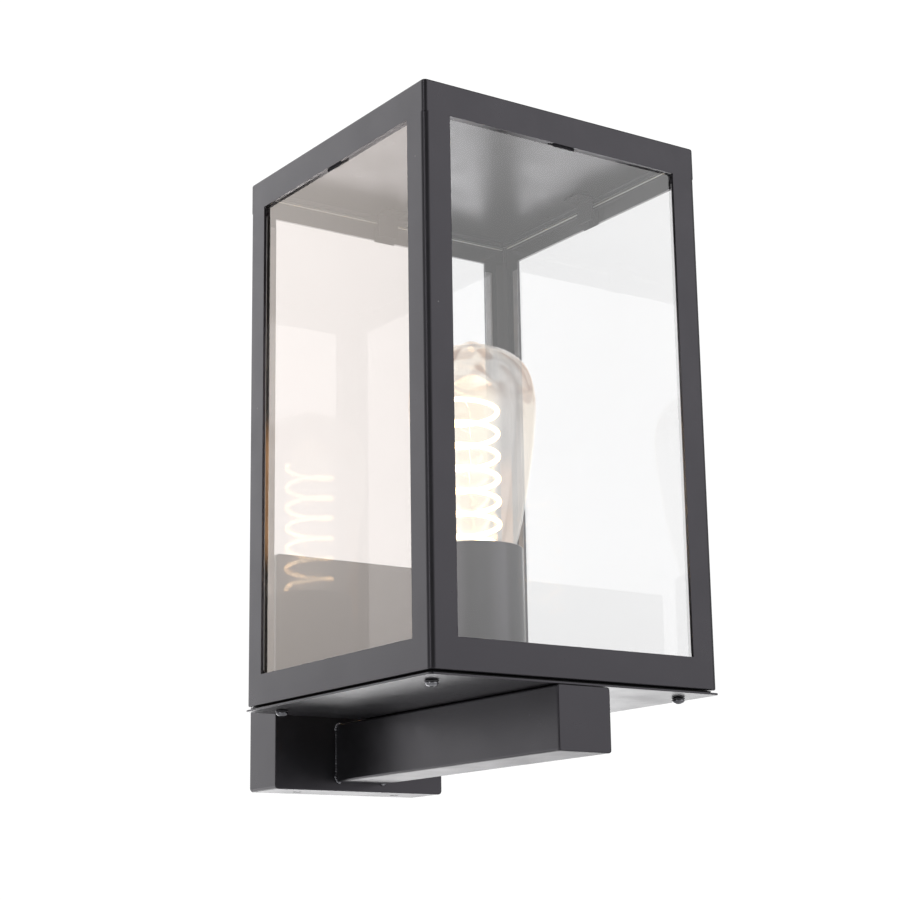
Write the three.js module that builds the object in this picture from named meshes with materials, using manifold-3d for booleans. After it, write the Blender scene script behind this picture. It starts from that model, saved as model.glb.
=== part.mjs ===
// Outdoor wall lantern: a square glazed hood over a filament bulb, carried by a square arm
// on a shallow wall box. Millimetres, +Z up, wall plane at Y = 0, the lantern stands out along -Y.

import * as THREE from 'three';
import { mergeVertices } from 'three/addons/utils/BufferGeometryUtils.js';
import Module from 'manifold-3d';

const wasm = await Module();
wasm.setup();

// ---------------------------------------------------------------------------------------------
// Driving dimensions
// ---------------------------------------------------------------------------------------------

const SHEET = 1.5;                 // steel sheet of hood, wall box and arm
const GAP = 0.3;                   // assembly gap between neighbouring pieces

const BOX_WIDTH = 102.7;             // wall box
const BOX_HEIGHT = 122.2;
const BOX_DEPTH = 26.5;

const HOOD_WIDTH = 164.6;          // square hood, outside
const HOOD_HEIGHT = 275;
const HOOD_STANDOFF = 25;          // wall box front to hood back
const HOOD_BOTTOM = -24;           // hood's lower edge above the middle of the wall box
const CORNER_RADIUS = 3;           // folded vertical corners of the hood
const POST_LEG = 14.5;             // width of each leg of a corner post
const TOP_RAIL = 16;               // skirt of the roof cap
const BOTTOM_RAIL = 15;            // height of the bottom frame
const BOTTOM_LIP = 15.75;          // inward lip of the bottom frame

const GLASS_THICKNESS = 3;
const GLASS_TOP = 269;             // upper edge of the panes above the hood's lower edge
const CLIP_WIDTH = 12.5;           // bent tab that holds a pane
const CLIP_SHEET = 1;
const CLIP_LOW = 260.4;
const CLIP_FOOT = 10;

const SEAL_THICKNESS = 0.7;        // foam seal between hood and base plate
const PLATE_WIDTH = 165.4;
const PLATE_THICKNESS = 1;
const SCREW_INSET_X = 11.2;        // corner screws from the hood's sides
const SCREW_INSET_Y = 16.2;        // and from its front and back
const SCREW_RADIUS = 1.95;         // M4
const HEAD_RADIUS = 3.1;
const HEAD_HEIGHT = 2;
const WASHER_THICKNESS = 0.6;
const WASHER_RADIUS = 3.3;

const ARM_SIDE = 30;               // square arm tube
const ARM_OVERHANG = 1.3;          // arm end cap in front of the base plate

const COVER_RADIUS = 24;           // lampholder cover
const COVER_WALL = 1.2;
const COVER_TOP = 74;
const NIPPLE_RADIUS = 5;           // hollow M10 threaded nipple
const NIPPLE_BORE = 3.6;

const CAP_RADIUS = 13.1;           // bulb's screw cap
const CAP_LOW = 34.3;
const CAP_HIGH = 57;
const GLOBE_WALL = 1;
const HELIX_RADIUS = 12.7;         // spiral filament, left-handed
const HELIX_PITCH = 11.6;
const HELIX_TURNS = 6.25;
const HELIX_LOW = 76.2;
const HELIX_START = 281;           // compass angle of its lower end, in degrees
const FILAMENT_RADIUS = 1;
const WIRE_RADIUS = 1.1;

// ---------------------------------------------------------------------------------------------
// Derived dimensions
// ---------------------------------------------------------------------------------------------

const HOOD_HALF = HOOD_WIDTH / 2;
const HOOD_INNER = HOOD_HALF - SHEET;
const HOOD_Y = -(BOX_DEPTH + HOOD_STANDOFF + HOOD_HALF);
const GLASS_OUTER = HOOD_INNER - GAP;
const GLASS_INNER = GLASS_OUTER - GLASS_THICKNESS;
const CLIP_OUTER = GLASS_INNER - GAP;

const SEAL_TOP = -GAP;
const SEAL_LOW = SEAL_TOP - SEAL_THICKNESS;
const PLATE_TOP = SEAL_LOW - GAP;
const PLATE_LOW = PLATE_TOP - PLATE_THICKNESS;
const WASHER_TOP = PLATE_LOW - GAP;
const WASHER_LOW = WASHER_TOP - WASHER_THICKNESS;
const HEAD_TOP = WASHER_LOW - GAP;
const SCREW_X = HOOD_HALF - SCREW_INSET_X;
const SCREW_Y = HOOD_HALF - SCREW_INSET_Y;

const ARM_TOP = PLATE_LOW - GAP;   // in hood heights
const ARM_MIDDLE = HOOD_BOTTOM + ARM_TOP - ARM_SIDE / 2;
const ARM_FRONT = HOOD_Y - PLATE_WIDTH / 2 - ARM_OVERHANG;
const CABLE_HOLE = 8;              // radius of the hole between wall box and arm
const RIVET_OFFSET = 50;           // rivets before and behind the lampholder

// ---------------------------------------------------------------------------------------------
// Materials
// ---------------------------------------------------------------------------------------------

const finish = (color, roughness, metalness, opacity = 1) =>
  new THREE.MeshStandardMaterial({ color, roughness, metalness, opacity, transparent: opacity < 1 });

const coat = finish(0x2b2b2d, 0.5, 0.3);
const zinc = finish(0xb9bcc0, 0.35, 0.9);
const brass = finish(0xb08d4a, 0.35, 0.9);
const nickel = finish(0xc8c8c4, 0.25, 1);
const paneGlass = finish(0xdfe6e6, 0.05, 0, 0.3);
const bulbGlass = finish(0xf4efe4, 0.03, 0, 0.3);
const porcelain = finish(0xe6e3da, 0.4, 0);
const rubber = finish(0x151515, 0.8, 0);
const filament = finish(0xffd9a0, 0.6, 0);
const whitePlastic = finish(0xdad9d4, 0.5, 0);
const brownPvc = finish(0x5a3522, 0.5, 0);
const bluePvc = finish(0x2a5fa8, 0.5, 0);
const greenPvc = finish(0x5f8f2f, 0.5, 0);

// ---------------------------------------------------------------------------------------------
// Shape helpers
// ---------------------------------------------------------------------------------------------

const ROUND_SIDES = 24;
const FASTENER_SIDES = 12;

function solidOf(geometry) {
  const bare = new THREE.BufferGeometry();
  bare.setAttribute('position', geometry.getAttribute('position'));
  if (geometry.index) bare.setIndex(geometry.index);
  const merged = mergeVertices(bare, 1e-4);
  return new wasm.Manifold(new wasm.Mesh({
    numProp: 3,
    vertProperties: new Float32Array(merged.getAttribute('position').array),
    triVerts: new Uint32Array(merged.index.array),
  }));
}

function geometryOf(solid) {
  const mesh = solid.getMesh();
  const geometry = new THREE.BufferGeometry();
  geometry.setAttribute('position', new THREE.BufferAttribute(new Float32Array(mesh.vertProperties), 3));
  geometry.setIndex(new THREE.BufferAttribute(new Uint32Array(mesh.triVerts), 1));
  geometry.computeVertexNormals();
  return geometry;
}

const cut = (base, ...tools) =>
  geometryOf(tools.reduce((solid, tool) => solid.subtract(solidOf(tool)), solidOf(base)));

const join = (base, ...others) =>
  geometryOf(others.reduce((solid, other) => solid.add(solidOf(other)), solidOf(base)));

// A block between two opposite corners.
function block([x0, y0, z0], [x1, y1, z1]) {
  const geometry = new THREE.BoxGeometry(x1 - x0, y1 - y0, z1 - z0);
  return geometry.translate((x0 + x1) / 2, (y0 + y1) / 2, (z0 + z1) / 2);
}

// A block centred on the vertical axis between two heights.
const slab = (width, depth, low, high) => block([-width / 2, -depth / 2, low], [width / 2, depth / 2, high]);

// An upright rod between two heights.
function rod(radius, low, high, x = 0, y = 0, sides = ROUND_SIDES) {
  const geometry = new THREE.CylinderGeometry(radius, radius, high - low, sides);
  return geometry.rotateX(Math.PI / 2).translate(x, y, (low + high) / 2);
}

// A rod along Y between two depths.
function rodAlongY(radius, back, front, x, z, sides = ROUND_SIDES) {
  const geometry = new THREE.CylinderGeometry(radius, radius, back - front, sides);
  return geometry.translate(x, (back + front) / 2, z);
}

// A body of revolution about Z from [radius, height] points.
function turned(points, sides = ROUND_SIDES) {
  const profile = points.map(([radius, height]) => new THREE.Vector2(radius, height));
  return new THREE.LatheGeometry(profile, sides).rotateX(Math.PI / 2);
}

// A ring or sleeve of revolution: a rectangle turned about Z.
const sleeve = (inner, outer, low, high, sides = ROUND_SIDES) =>
  turned([[inner, low], [outer, low], [outer, high], [inner, high], [inner, low]], sides);

// A round bar of the given radius along a curve.
function bar(curve, radius, steps, sides) {
  const section = new THREE.Shape();
  for (let i = 0; i < sides; i += 1) {
    const angle = (i / sides) * 2 * Math.PI;
    const place = [radius * Math.cos(angle), radius * Math.sin(angle)];
    if (i === 0) section.moveTo(...place);
    else section.lineTo(...place);
  }
  section.closePath();
  return new THREE.ExtrudeGeometry(section, { steps, extrudePath: curve, bevelEnabled: false });
}

// A square outline with rounded corners, centred on the axis.
function roundedSquare(half, radius) {
  const shape = new THREE.Shape();
  const c = half - radius;
  shape.absarc(c, c, radius, 0, Math.PI / 2);
  shape.absarc(-c, c, radius, Math.PI / 2, Math.PI);
  shape.absarc(-c, -c, radius, Math.PI, 1.5 * Math.PI);
  shape.absarc(c, -c, radius, 1.5 * Math.PI, 2 * Math.PI);
  shape.closePath();
  return shape;
}

// A flat outline raised between two heights.
function raised(shape, low, high, curveSegments = 4) {
  const geometry = new THREE.ExtrudeGeometry(shape, { depth: high - low, bevelEnabled: false, curveSegments });
  return geometry.translate(0, 0, low);
}

function piece(parent, name, geometry, material) {
  const mesh = new THREE.Mesh(geometry, material);
  mesh.name = name;
  parent.add(mesh);
  return mesh;
}

const SIDES = [                    // the four sides of the hood and their turn about its axis
  { name: 'front', turn: 0 },
  { name: 'right', turn: Math.PI / 2 },
  { name: 'back', turn: Math.PI },
  { name: 'left', turn: -Math.PI / 2 },
];

const CORNERS = [
  { name: 'front_left', x: -1, y: -1, turn: 0 },
  { name: 'front_right', x: 1, y: -1, turn: Math.PI / 2 },
  { name: 'back_right', x: 1, y: 1, turn: Math.PI },
  { name: 'back_left', x: -1, y: 1, turn: -Math.PI / 2 },
];

// ---------------------------------------------------------------------------------------------
// Wall box and what it holds
// ---------------------------------------------------------------------------------------------

const BRACKET_SHEET = 2;
const BRACKET_HALF = 40;
const BOX_SCREW_X = 30;            // set screws in the underside
const BOX_SCREW_Y = -12;
const CLEARANCE = 0.3;             // screw to its hole
const EARTH_AT = { x: 30, z: -30 };
const BLOCK_LOW = 4;               // lower edge of the terminal block
const BLOCK_FRONT = -18;

function wallBox() {
  const x = BOX_WIDTH / 2;
  const z = BOX_HEIGHT / 2;
  const outside = block([-x, -BOX_DEPTH, -z], [x, 0, z]);
  const inside = block([SHEET - x, SHEET - BOX_DEPTH, SHEET - z], [x - SHEET, 1, z - SHEET]);
  const cableHole = rodAlongY(CABLE_HOLE, 0, -BOX_DEPTH - 1, 0, ARM_MIDDLE);
  const screwHoles = [-1, 1].map((side) =>
    rod(SCREW_RADIUS + CLEARANCE, -z - 1, -z + 5, side * BOX_SCREW_X, BOX_SCREW_Y, 16));
  return cut(outside, inside, cableHole, ...screwHoles);
}

function mountingBracket() {
  const z = BOX_HEIGHT / 2 - SHEET - GAP;
  const back = block([-BRACKET_HALF, -BRACKET_SHEET, -z], [BRACKET_HALF, 0, z]);
  const lowEar = block([-BRACKET_HALF, -22, -z], [BRACKET_HALF, 0, BRACKET_SHEET - z]);
  const topEar = block([-BRACKET_HALF, -12, z - BRACKET_SHEET], [BRACKET_HALF, 0, z]);
  const cableHole = rodAlongY(12, 1, -BRACKET_SHEET - 1, 0, 38);
  const earthHole = rodAlongY(SCREW_RADIUS + CLEARANCE, 1, -BRACKET_SHEET - 1, EARTH_AT.x, EARTH_AT.z, 16);
  const cuts = [cableHole, earthHole];
  for (const side of [-1, 1]) {
    cuts.push(rod(SCREW_RADIUS + CLEARANCE, -z - 1, -z + 4, side * BOX_SCREW_X, BOX_SCREW_Y, 16));
    cuts.push(block([side * 30 - 6, -3, -2.5], [side * 30 + 6, 1, 2.5]));
  }
  return cut(join(back, lowEar, topEar), ...cuts);
}

function setScrew() {
  const low = -BOX_HEIGHT / 2 + 0.2;
  const shank = rod(SCREW_RADIUS, low, low + 6, 0, 0, 16);
  return cut(shank, rod(1.15, low - 1, low + 2.4, 0, 0, 6));
}

function terminalBlock() {
  const body = block([-17, BLOCK_FRONT, BLOCK_LOW], [17, -BRACKET_SHEET - GAP, BLOCK_LOW + 18]);
  const cuts = [];
  for (const x of [-11, 0, 11]) {
    cuts.push(rod(2, BLOCK_LOW - 1, BLOCK_LOW + 7, x, -12, 12));
    cuts.push(rod(2, BLOCK_LOW + 11, BLOCK_LOW + 19, x, -12, 12));
    cuts.push(block([x - 2.5, BLOCK_FRONT - 1, BLOCK_LOW + 6], [x + 2.5, BLOCK_FRONT + 2, BLOCK_LOW + 12]));
  }
  return cut(body, ...cuts);
}

function earthScrew() {
  const headBack = -BRACKET_SHEET - 2.6;
  const shank = rodAlongY(SCREW_RADIUS, -0.4, headBack - 0.5, EARTH_AT.x, EARTH_AT.z, 16);
  const head = rodAlongY(3.8, headBack, headBack - 2.6, EARTH_AT.x, EARTH_AT.z, 16);
  const slot = block(
    [EARTH_AT.x - 5, headBack - 4, EARTH_AT.z - 0.5],
    [EARTH_AT.x + 5, headBack - 1.4, EARTH_AT.z + 0.5],
  );
  return cut(join(shank, head), slot);
}

const earthWasher = () => sleeve(2.3, 4.4, 0, 0.8, 16)
  .rotateX(Math.PI / 2).translate(EARTH_AT.x, -BRACKET_SHEET - GAP, EARTH_AT.z);

// Ring lug of the earth wire, with its crimp barrel pointing up.
function earthLug() {
  const ring = rodAlongY(4, 0.8, 0, 0, 0, 16);
  const tongue = block([-1.6, 0, 2], [1.6, 0.8, 9]);
  const hole = rodAlongY(2.3, 2, -1, 0, 0, 16);
  return cut(join(ring, tongue), hole)
    .translate(EARTH_AT.x, -BRACKET_SHEET - 2.2, EARTH_AT.z);
}

// Rubber grommet with a groove around the wall box's sheet.
function cableGrommet() {
  const neck = CABLE_HOLE - GAP;
  const profile = [
    [4.4, -2.3], [10, -2.3], [10, -GAP], [neck, -GAP], [neck, SHEET + GAP],
    [10, SHEET + GAP], [10, SHEET + 2.3], [4.4, SHEET + 2.3], [4.4, -2.3],
  ];
  return turned(profile, 16).rotateX(Math.PI / 2).translate(0, SHEET - BOX_DEPTH, ARM_MIDDLE);
}

const wallGroup = new THREE.Group();
piece(wallGroup, 'wall_box', wallBox(), coat);
piece(wallGroup, 'mounting_bracket', mountingBracket(), zinc);
for (const [name, side] of [['box_set_screw_left', -1], ['box_set_screw_right', 1]]) {
  piece(wallGroup, name, setScrew(), zinc).position.set(side * BOX_SCREW_X, BOX_SCREW_Y, 0);
}
piece(wallGroup, 'terminal_block', terminalBlock(), whitePlastic);
piece(wallGroup, 'earth_screw', earthScrew(), zinc);
piece(wallGroup, 'earth_washer', earthWasher(), zinc);
piece(wallGroup, 'earth_lug', earthLug(), brass);
piece(wallGroup, 'cable_grommet', cableGrommet(), rubber);

// ---------------------------------------------------------------------------------------------
// Arm
// ---------------------------------------------------------------------------------------------

function armTube() {
  const back = -BOX_DEPTH - GAP;
  const front = ARM_FRONT + SHEET + GAP;
  const half = ARM_SIDE / 2;
  const outside = block([-half, front, ARM_MIDDLE - half], [half, back, ARM_MIDDLE + half]);
  const bore = half - SHEET;
  const inside = block([-bore, front - 1, ARM_MIDDLE - bore], [bore, back + 1, ARM_MIDDLE + bore]);
  const top = ARM_MIDDLE + half;
  const holes = [rod(NIPPLE_RADIUS + CLEARANCE, top - 3, top + 1, 0, HOOD_Y)];
  for (const side of [-1, 1]) {
    holes.push(rod(1.9, top - 3, top + 1, 0, HOOD_Y + side * RIVET_OFFSET, 16));
  }
  return cut(outside, inside, ...holes);
}

function armEndCap() {
  const half = ARM_SIDE / 2;
  return block([-half, ARM_FRONT, ARM_MIDDLE - half], [half, ARM_FRONT + SHEET, ARM_MIDDLE + half]);
}

const armGroup = new THREE.Group();
piece(armGroup, 'arm_tube', armTube(), coat);
piece(armGroup, 'arm_end_cap', armEndCap(), coat);

// ---------------------------------------------------------------------------------------------
// Base plate under the hood, its seal and its fasteners. Heights are above the hood's lower edge.
// ---------------------------------------------------------------------------------------------

const cornerHoles = (radius, low, high) =>
  CORNERS.map(({ x, y }) => rod(radius, low, high, x * SCREW_X, y * SCREW_Y, FASTENER_SIDES));

function basePlate() {
  const plate = slab(PLATE_WIDTH, PLATE_WIDTH, PLATE_LOW, PLATE_TOP);
  const rivetHoles = [-1, 1].map((side) => rod(1.9, -5, 1, 0, side * RIVET_OFFSET, 16));
  const nippleHole = rod(NIPPLE_RADIUS + CLEARANCE, -5, 1);
  return cut(plate, ...cornerHoles(2.4, -5, 1), ...rivetHoles, nippleHole);
}

function baseSeal() {
  const outer = HOOD_WIDTH - 5;
  const ring = slab(outer, outer, SEAL_LOW, SEAL_TOP);
  const inner = HOOD_WIDTH - 2 * BOTTOM_LIP;
  return cut(ring, slab(inner, inner, -5, 1), ...cornerHoles(3.4, -5, 1));
}

// Solid rivet through base plate and arm, with a low head on each side.
function plateRivet() {
  const armInside = ARM_TOP - SHEET;
  return turned([
    [0, armInside - 1.9], [2.4, armInside - 1.5], [3.1, armInside - GAP], [1.6, armInside - GAP],
    [1.6, PLATE_TOP + GAP], [3.1, PLATE_TOP + GAP], [2.4, PLATE_TOP + 1.5], [0, PLATE_TOP + 1.9],
  ], FASTENER_SIDES);
}

// Domed M4 screw that enters from below.
function cornerScrew() {
  const low = HEAD_TOP - HEAD_HEIGHT;
  const body = turned([
    [0, low], [1.4, low + 0.15], [2.3, low + 0.65], [HEAD_RADIUS - 0.2, low + 1.5],
    [HEAD_RADIUS, HEAD_TOP], [SCREW_RADIUS, HEAD_TOP], [SCREW_RADIUS, 6.4], [1.4, 7], [0, 7],
  ], FASTENER_SIDES);
  return cut(body, rod(1.25, low - 1, low + 1.3, 0, 0, 6));
}

const cornerWasher = () => sleeve(SCREW_RADIUS + CLEARANCE, WASHER_RADIUS, WASHER_LOW, WASHER_TOP, FASTENER_SIDES);

// Rivet nut in the lip of the bottom frame.
function hoodInsert() {
  return turned([
    [2.35, 0.1], [2.95, 0.1], [2.95, SHEET + GAP], [4.1, SHEET + GAP], [4.1, SHEET + GAP + 0.9],
    [2.95, SHEET + GAP + 0.9], [2.95, 9], [2.35, 9], [2.35, 0.1],
  ], FASTENER_SIDES);
}

const baseGroup = new THREE.Group();
baseGroup.position.set(0, HOOD_Y, HOOD_BOTTOM);
piece(baseGroup, 'base_plate', basePlate(), coat);
piece(baseGroup, 'base_seal', baseSeal(), rubber);
piece(baseGroup, 'plate_rivet_front', plateRivet(), zinc).position.y = -RIVET_OFFSET;
piece(baseGroup, 'plate_rivet_back', plateRivet(), zinc).position.y = RIVET_OFFSET;
for (const { name, x, y } of CORNERS) {
  piece(baseGroup, `corner_screw_${name}`, cornerScrew(), coat).position.set(x * SCREW_X, y * SCREW_Y, 0);
  piece(baseGroup, `corner_washer_${name}`, cornerWasher(), coat).position.set(x * SCREW_X, y * SCREW_Y, 0);
}

// ---------------------------------------------------------------------------------------------
// Glazed hood
// ---------------------------------------------------------------------------------------------

function roofCap() {
  const low = HOOD_HEIGHT - TOP_RAIL;
  const outside = slab(HOOD_WIDTH, HOOD_WIDTH, low, HOOD_HEIGHT);
  const inside = slab(2 * HOOD_INNER, 2 * HOOD_INNER, low - 1, HOOD_HEIGHT - SHEET);
  return cut(outside, inside);
}

function bottomFrame() {
  const outside = raised(roundedSquare(HOOD_HALF, CORNER_RADIUS), 0, BOTTOM_RAIL);
  const inside = raised(roundedSquare(HOOD_INNER, CORNER_RADIUS - SHEET), SHEET, BOTTOM_RAIL + 1);
  const lipHalf = HOOD_HALF - BOTTOM_LIP;
  const mouth = slab(2 * lipHalf, 2 * lipHalf, -1, BOTTOM_RAIL);
  return cut(outside, inside, mouth, ...cornerHoles(3.3, -1, 3));
}

// L-shaped post of the front left corner.
function cornerPost() {
  const outer = -HOOD_HALF;
  const inner = -HOOD_INNER;
  const end = outer + POST_LEG;
  const centre = outer + CORNER_RADIUS;
  const shape = new THREE.Shape();
  shape.moveTo(outer, end);
  shape.absarc(centre, centre, CORNER_RADIUS, Math.PI, 1.5 * Math.PI);
  shape.lineTo(end, outer);
  shape.lineTo(end, inner);
  shape.absarc(centre, centre, CORNER_RADIUS - SHEET, 1.5 * Math.PI, Math.PI, true);
  shape.lineTo(inner, end);
  shape.closePath();
  return raised(shape, BOTTOM_RAIL + GAP, HOOD_HEIGHT - TOP_RAIL - GAP);
}

// Pane of the front; the side panes stand between the front and back ones.
function pane(halfWidth) {
  return block([-halfWidth, -GLASS_OUTER, SHEET + GAP], [halfWidth, -GLASS_INNER, GLASS_TOP]);
}

// Bent tab behind the top of the front pane, its foot under the roof.
function glassClip() {
  const half = CLIP_WIDTH / 2;
  const top = HOOD_HEIGHT - SHEET - GAP;
  const leaf = block([-half, -CLIP_OUTER, CLIP_LOW], [half, CLIP_SHEET - CLIP_OUTER, top]);
  const foot = block([-half, -CLIP_OUTER, top - CLIP_SHEET], [half, CLIP_FOOT - CLIP_OUTER, top]);
  return join(leaf, foot);
}

const hoodGroup = new THREE.Group();
hoodGroup.position.set(0, HOOD_Y, HOOD_BOTTOM);
piece(hoodGroup, 'roof_cap', roofCap(), coat);
piece(hoodGroup, 'bottom_frame', bottomFrame(), coat);
for (const { name, x, y, turn } of CORNERS) {
  piece(hoodGroup, `corner_post_${name}`, cornerPost(), coat).rotation.z = turn;
  piece(hoodGroup, `hood_insert_${name}`, hoodInsert(), zinc).position.set(x * SCREW_X, y * SCREW_Y, 0);
}
for (const { name, turn } of SIDES) {
  const between = name === 'left' || name === 'right';
  const halfWidth = between ? GLASS_INNER - 0.5 : GLASS_OUTER - GAP;
  piece(hoodGroup, `glass_${name}`, pane(halfWidth), paneGlass).rotation.z = turn;
  piece(hoodGroup, `glass_clip_${name}`, glassClip(), coat).rotation.z = turn;
}

// ---------------------------------------------------------------------------------------------
// Lampholder
// ---------------------------------------------------------------------------------------------

const HOLDER_RADIUS = 19.5;
const HOLDER_TOP = 56;
const HOLDER_FLOOR = 26;           // where the socket begins

function lampholderCover() {
  const low = PLATE_TOP + GAP;
  const floor = low + COVER_WALL;
  const inner = COVER_RADIUS - COVER_WALL;
  const hole = NIPPLE_RADIUS + CLEARANCE;
  return turned([
    [hole, low], [COVER_RADIUS, low], [COVER_RADIUS, COVER_TOP], [inner, COVER_TOP],
    [inner, floor], [hole, floor], [hole, low],
  ], 40);
}

// Porcelain body: nipple hole, wiring space, floor with the contact's hole, and the socket.
function lampholderBody() {
  const low = PLATE_TOP + GAP + COVER_WALL + GAP;
  const hole = NIPPLE_RADIUS + CLEARANCE;
  return turned([
    [hole, low], [HOLDER_RADIUS, low], [HOLDER_RADIUS, HOLDER_TOP], [14.6, HOLDER_TOP],
    [14.6, HOLDER_FLOOR], [2.2, HOLDER_FLOOR], [2.2, HOLDER_FLOOR - 5], [10, HOLDER_FLOOR - 5],
    [10, 9], [hole, 9], [hole, low],
  ]);
}

// Threaded metal shell with a lip under the bulb's cap.
function screwShell() {
  return turned([
    [9, 26.4], [14.2, 26.4], [14.2, 55], [13.6, 55], [13.6, 27.2], [9, 27.2], [9, 26.4],
  ]);
}

const centreContact = () => turned([[0, 16], [1.7, 16], [1.7, 27.4], [4.5, 27.4], [4.5, 28.2], [0, 28.6]], 16);

const threadedNipple = () => sleeve(NIPPLE_BORE, NIPPLE_RADIUS, ARM_TOP - 11, 8);

function nippleNut() {
  const top = ARM_TOP - SHEET - GAP;
  return cut(rod(8.1, top - 4, top, 0, 0, 6), rod(NIPPLE_RADIUS + CLEARANCE, top - 5, top + 1));
}

const holderGroup = new THREE.Group();
holderGroup.position.set(0, HOOD_Y, HOOD_BOTTOM);
piece(holderGroup, 'lampholder_cover', lampholderCover(), coat);
piece(holderGroup, 'lampholder_body', lampholderBody(), porcelain);
piece(holderGroup, 'screw_shell', screwShell(), brass);
piece(holderGroup, 'centre_contact', centreContact(), brass);
piece(holderGroup, 'threaded_nipple', threadedNipple(), zinc);
piece(holderGroup, 'nipple_nut', nippleNut(), zinc);

// ---------------------------------------------------------------------------------------------
// Bulb
// ---------------------------------------------------------------------------------------------

// Outer profile of the glass globe: neck, long taper, widest near the top, sealed tip.
const GLOBE = [
  [12.2, 50], [12.4, 57.6], [14.6, 62], [17.8, 69], [21.1, 77], [25.2, 94], [28.6, 113],
  [31.1, 132], [32, 147], [31.2, 157], [27.8, 166.5], [21, 173], [12, 176.6], [5.6, 177.6],
];
const TIP_TOP = 181;

function bulbGlobe() {
  const curve = new THREE.SplineCurve(GLOBE.map(([radius, height]) => new THREE.Vector2(radius, height)));
  const outside = curve.getPoints(14).map((point) => [point.x, point.y]);
  const inside = outside.map(([radius, height]) => {
    const share = Math.max(0, (height - 150) / 28);
    return [radius - GLOBE_WALL, height - GLOBE_WALL * share];
  });
  const tip = [[4.9, 179.2], [3, 180.6], [0, TIP_TOP]];
  const [neck] = outside;
  return turned([[0, 176.9], ...inside.reverse(), neck, ...outside.slice(1), ...tip], 20);
}

// Crimped screw cap, open at the top around the glass neck.
function bulbCap() {
  const inner = CAP_RADIUS - 0.5;
  return turned([
    [5.8, CAP_LOW], [11.4, CAP_LOW], [CAP_RADIUS, CAP_LOW + 2.5], [CAP_RADIUS, CAP_HIGH], [inner, CAP_HIGH],
    [inner, CAP_LOW + 3], [11, CAP_LOW + 0.6], [5.8, CAP_LOW + 0.6], [5.8, CAP_LOW],
  ]);
}

const bulbInsulator = () => turned([[0, 30.9], [5, 30.9], [10.5, 34], [5.4, 34], [5.4, 36], [0, 36]], FASTENER_SIDES);

const bulbContact = () => turned([[0, 29.1], [2.8, 29.3], [4.6, 30.2], [4.6, 30.6], [0, 30.6]], 16);

// Glass stem that rises from the neck and carries the filament.
const bulbStem = () => turned([
  [0, 51], [10.6, 51], [9.4, 54], [6.4, 60], [4.6, 66], [4, 76], [3.4, 80], [2, 82], [1.6, 96], [2.4, 98],
  [1.6, 100], [0, 100.4],
], 16);

class Helix extends THREE.Curve {
  getPoint(share, target = new THREE.Vector3()) {
    const angle = THREE.MathUtils.degToRad(HELIX_START) - share * HELIX_TURNS * 2 * Math.PI;
    const height = HELIX_LOW + share * HELIX_TURNS * HELIX_PITCH;
    return target.set(HELIX_RADIUS * Math.cos(angle), HELIX_RADIUS * Math.sin(angle), height);
  }
}

const bulbFilament = () => bar(new Helix(), FILAMENT_RADIUS, HELIX_TURNS * 12, 6);

const bulbGroup = new THREE.Group();
bulbGroup.position.set(0, HOOD_Y, HOOD_BOTTOM);
piece(bulbGroup, 'bulb_globe', bulbGlobe(), bulbGlass);
piece(bulbGroup, 'bulb_cap', bulbCap(), nickel);
piece(bulbGroup, 'bulb_insulator', bulbInsulator(), rubber);
piece(bulbGroup, 'bulb_contact', bulbContact(), nickel);
piece(bulbGroup, 'bulb_stem', bulbStem(), bulbGlass);
piece(bulbGroup, 'bulb_filament', bulbFilament(), filament);

// ---------------------------------------------------------------------------------------------
// Internal wires
// ---------------------------------------------------------------------------------------------

const WIRE_SIDES = 8;
const WIRE_SPREAD = 2;             // wire's distance from the axis of nipple and grommet

// A wire from the terminal block, through the grommet and the arm, up the nipple into the lampholder.
function holderWire(side) {
  const x = side * WIRE_SPREAD;
  const points = [
    [side * 11, -12, BLOCK_LOW - GAP],
    [side * 10.5, -12.5, BLOCK_LOW - 10],
    [side * 6, -14, -24],
    [x, -17, ARM_MIDDLE + 3],
    [x, -23, ARM_MIDDLE],
    [x, -32, ARM_MIDDLE],
    [x, -70, ARM_MIDDLE - 2],
    [x, HOOD_Y + 14, ARM_MIDDLE - 2],
    [x, HOOD_Y + 3, ARM_MIDDLE + 1],
    [x, HOOD_Y, HOOD_BOTTOM - 10],
    [x, HOOD_Y, HOOD_BOTTOM],
    [x, HOOD_Y, HOOD_BOTTOM + 9],
    [side * 4.5, HOOD_Y, HOOD_BOTTOM + 15],
  ].map((place) => new THREE.Vector3(...place));
  return bar(new THREE.CatmullRomCurve3(points, false, 'centripetal'), WIRE_RADIUS, 32, WIRE_SIDES);
}

// The earth wire, from the terminal block to its lug on the bracket.
function earthWire() {
  const points = [
    [0, -12, BLOCK_LOW - GAP],
    [0.5, -10.5, BLOCK_LOW - 6],
    [8, -6.5, -8],
    [20, -5.5, -11],
    [EARTH_AT.x, -4.8, EARTH_AT.z + 9.6],
  ].map((place) => new THREE.Vector3(...place));
  return bar(new THREE.CatmullRomCurve3(points, false, 'centripetal'), WIRE_RADIUS, 10, WIRE_SIDES);
}

const wireGroup = new THREE.Group();
piece(wireGroup, 'live_wire', holderWire(-1), brownPvc);
piece(wireGroup, 'neutral_wire', holderWire(1), bluePvc);
piece(wireGroup, 'earth_wire', earthWire(), greenPvc);

// ---------------------------------------------------------------------------------------------

const group = new THREE.Group();
group.add(wallGroup, armGroup, baseGroup, hoodGroup, holderGroup, bulbGroup, wireGroup);

export default group;
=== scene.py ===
# Outdoor wall lantern: the looks of every piece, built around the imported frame. Metres, +Z up.

import math

import bmesh
import bpy
from mathutils import Matrix, Vector


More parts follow.
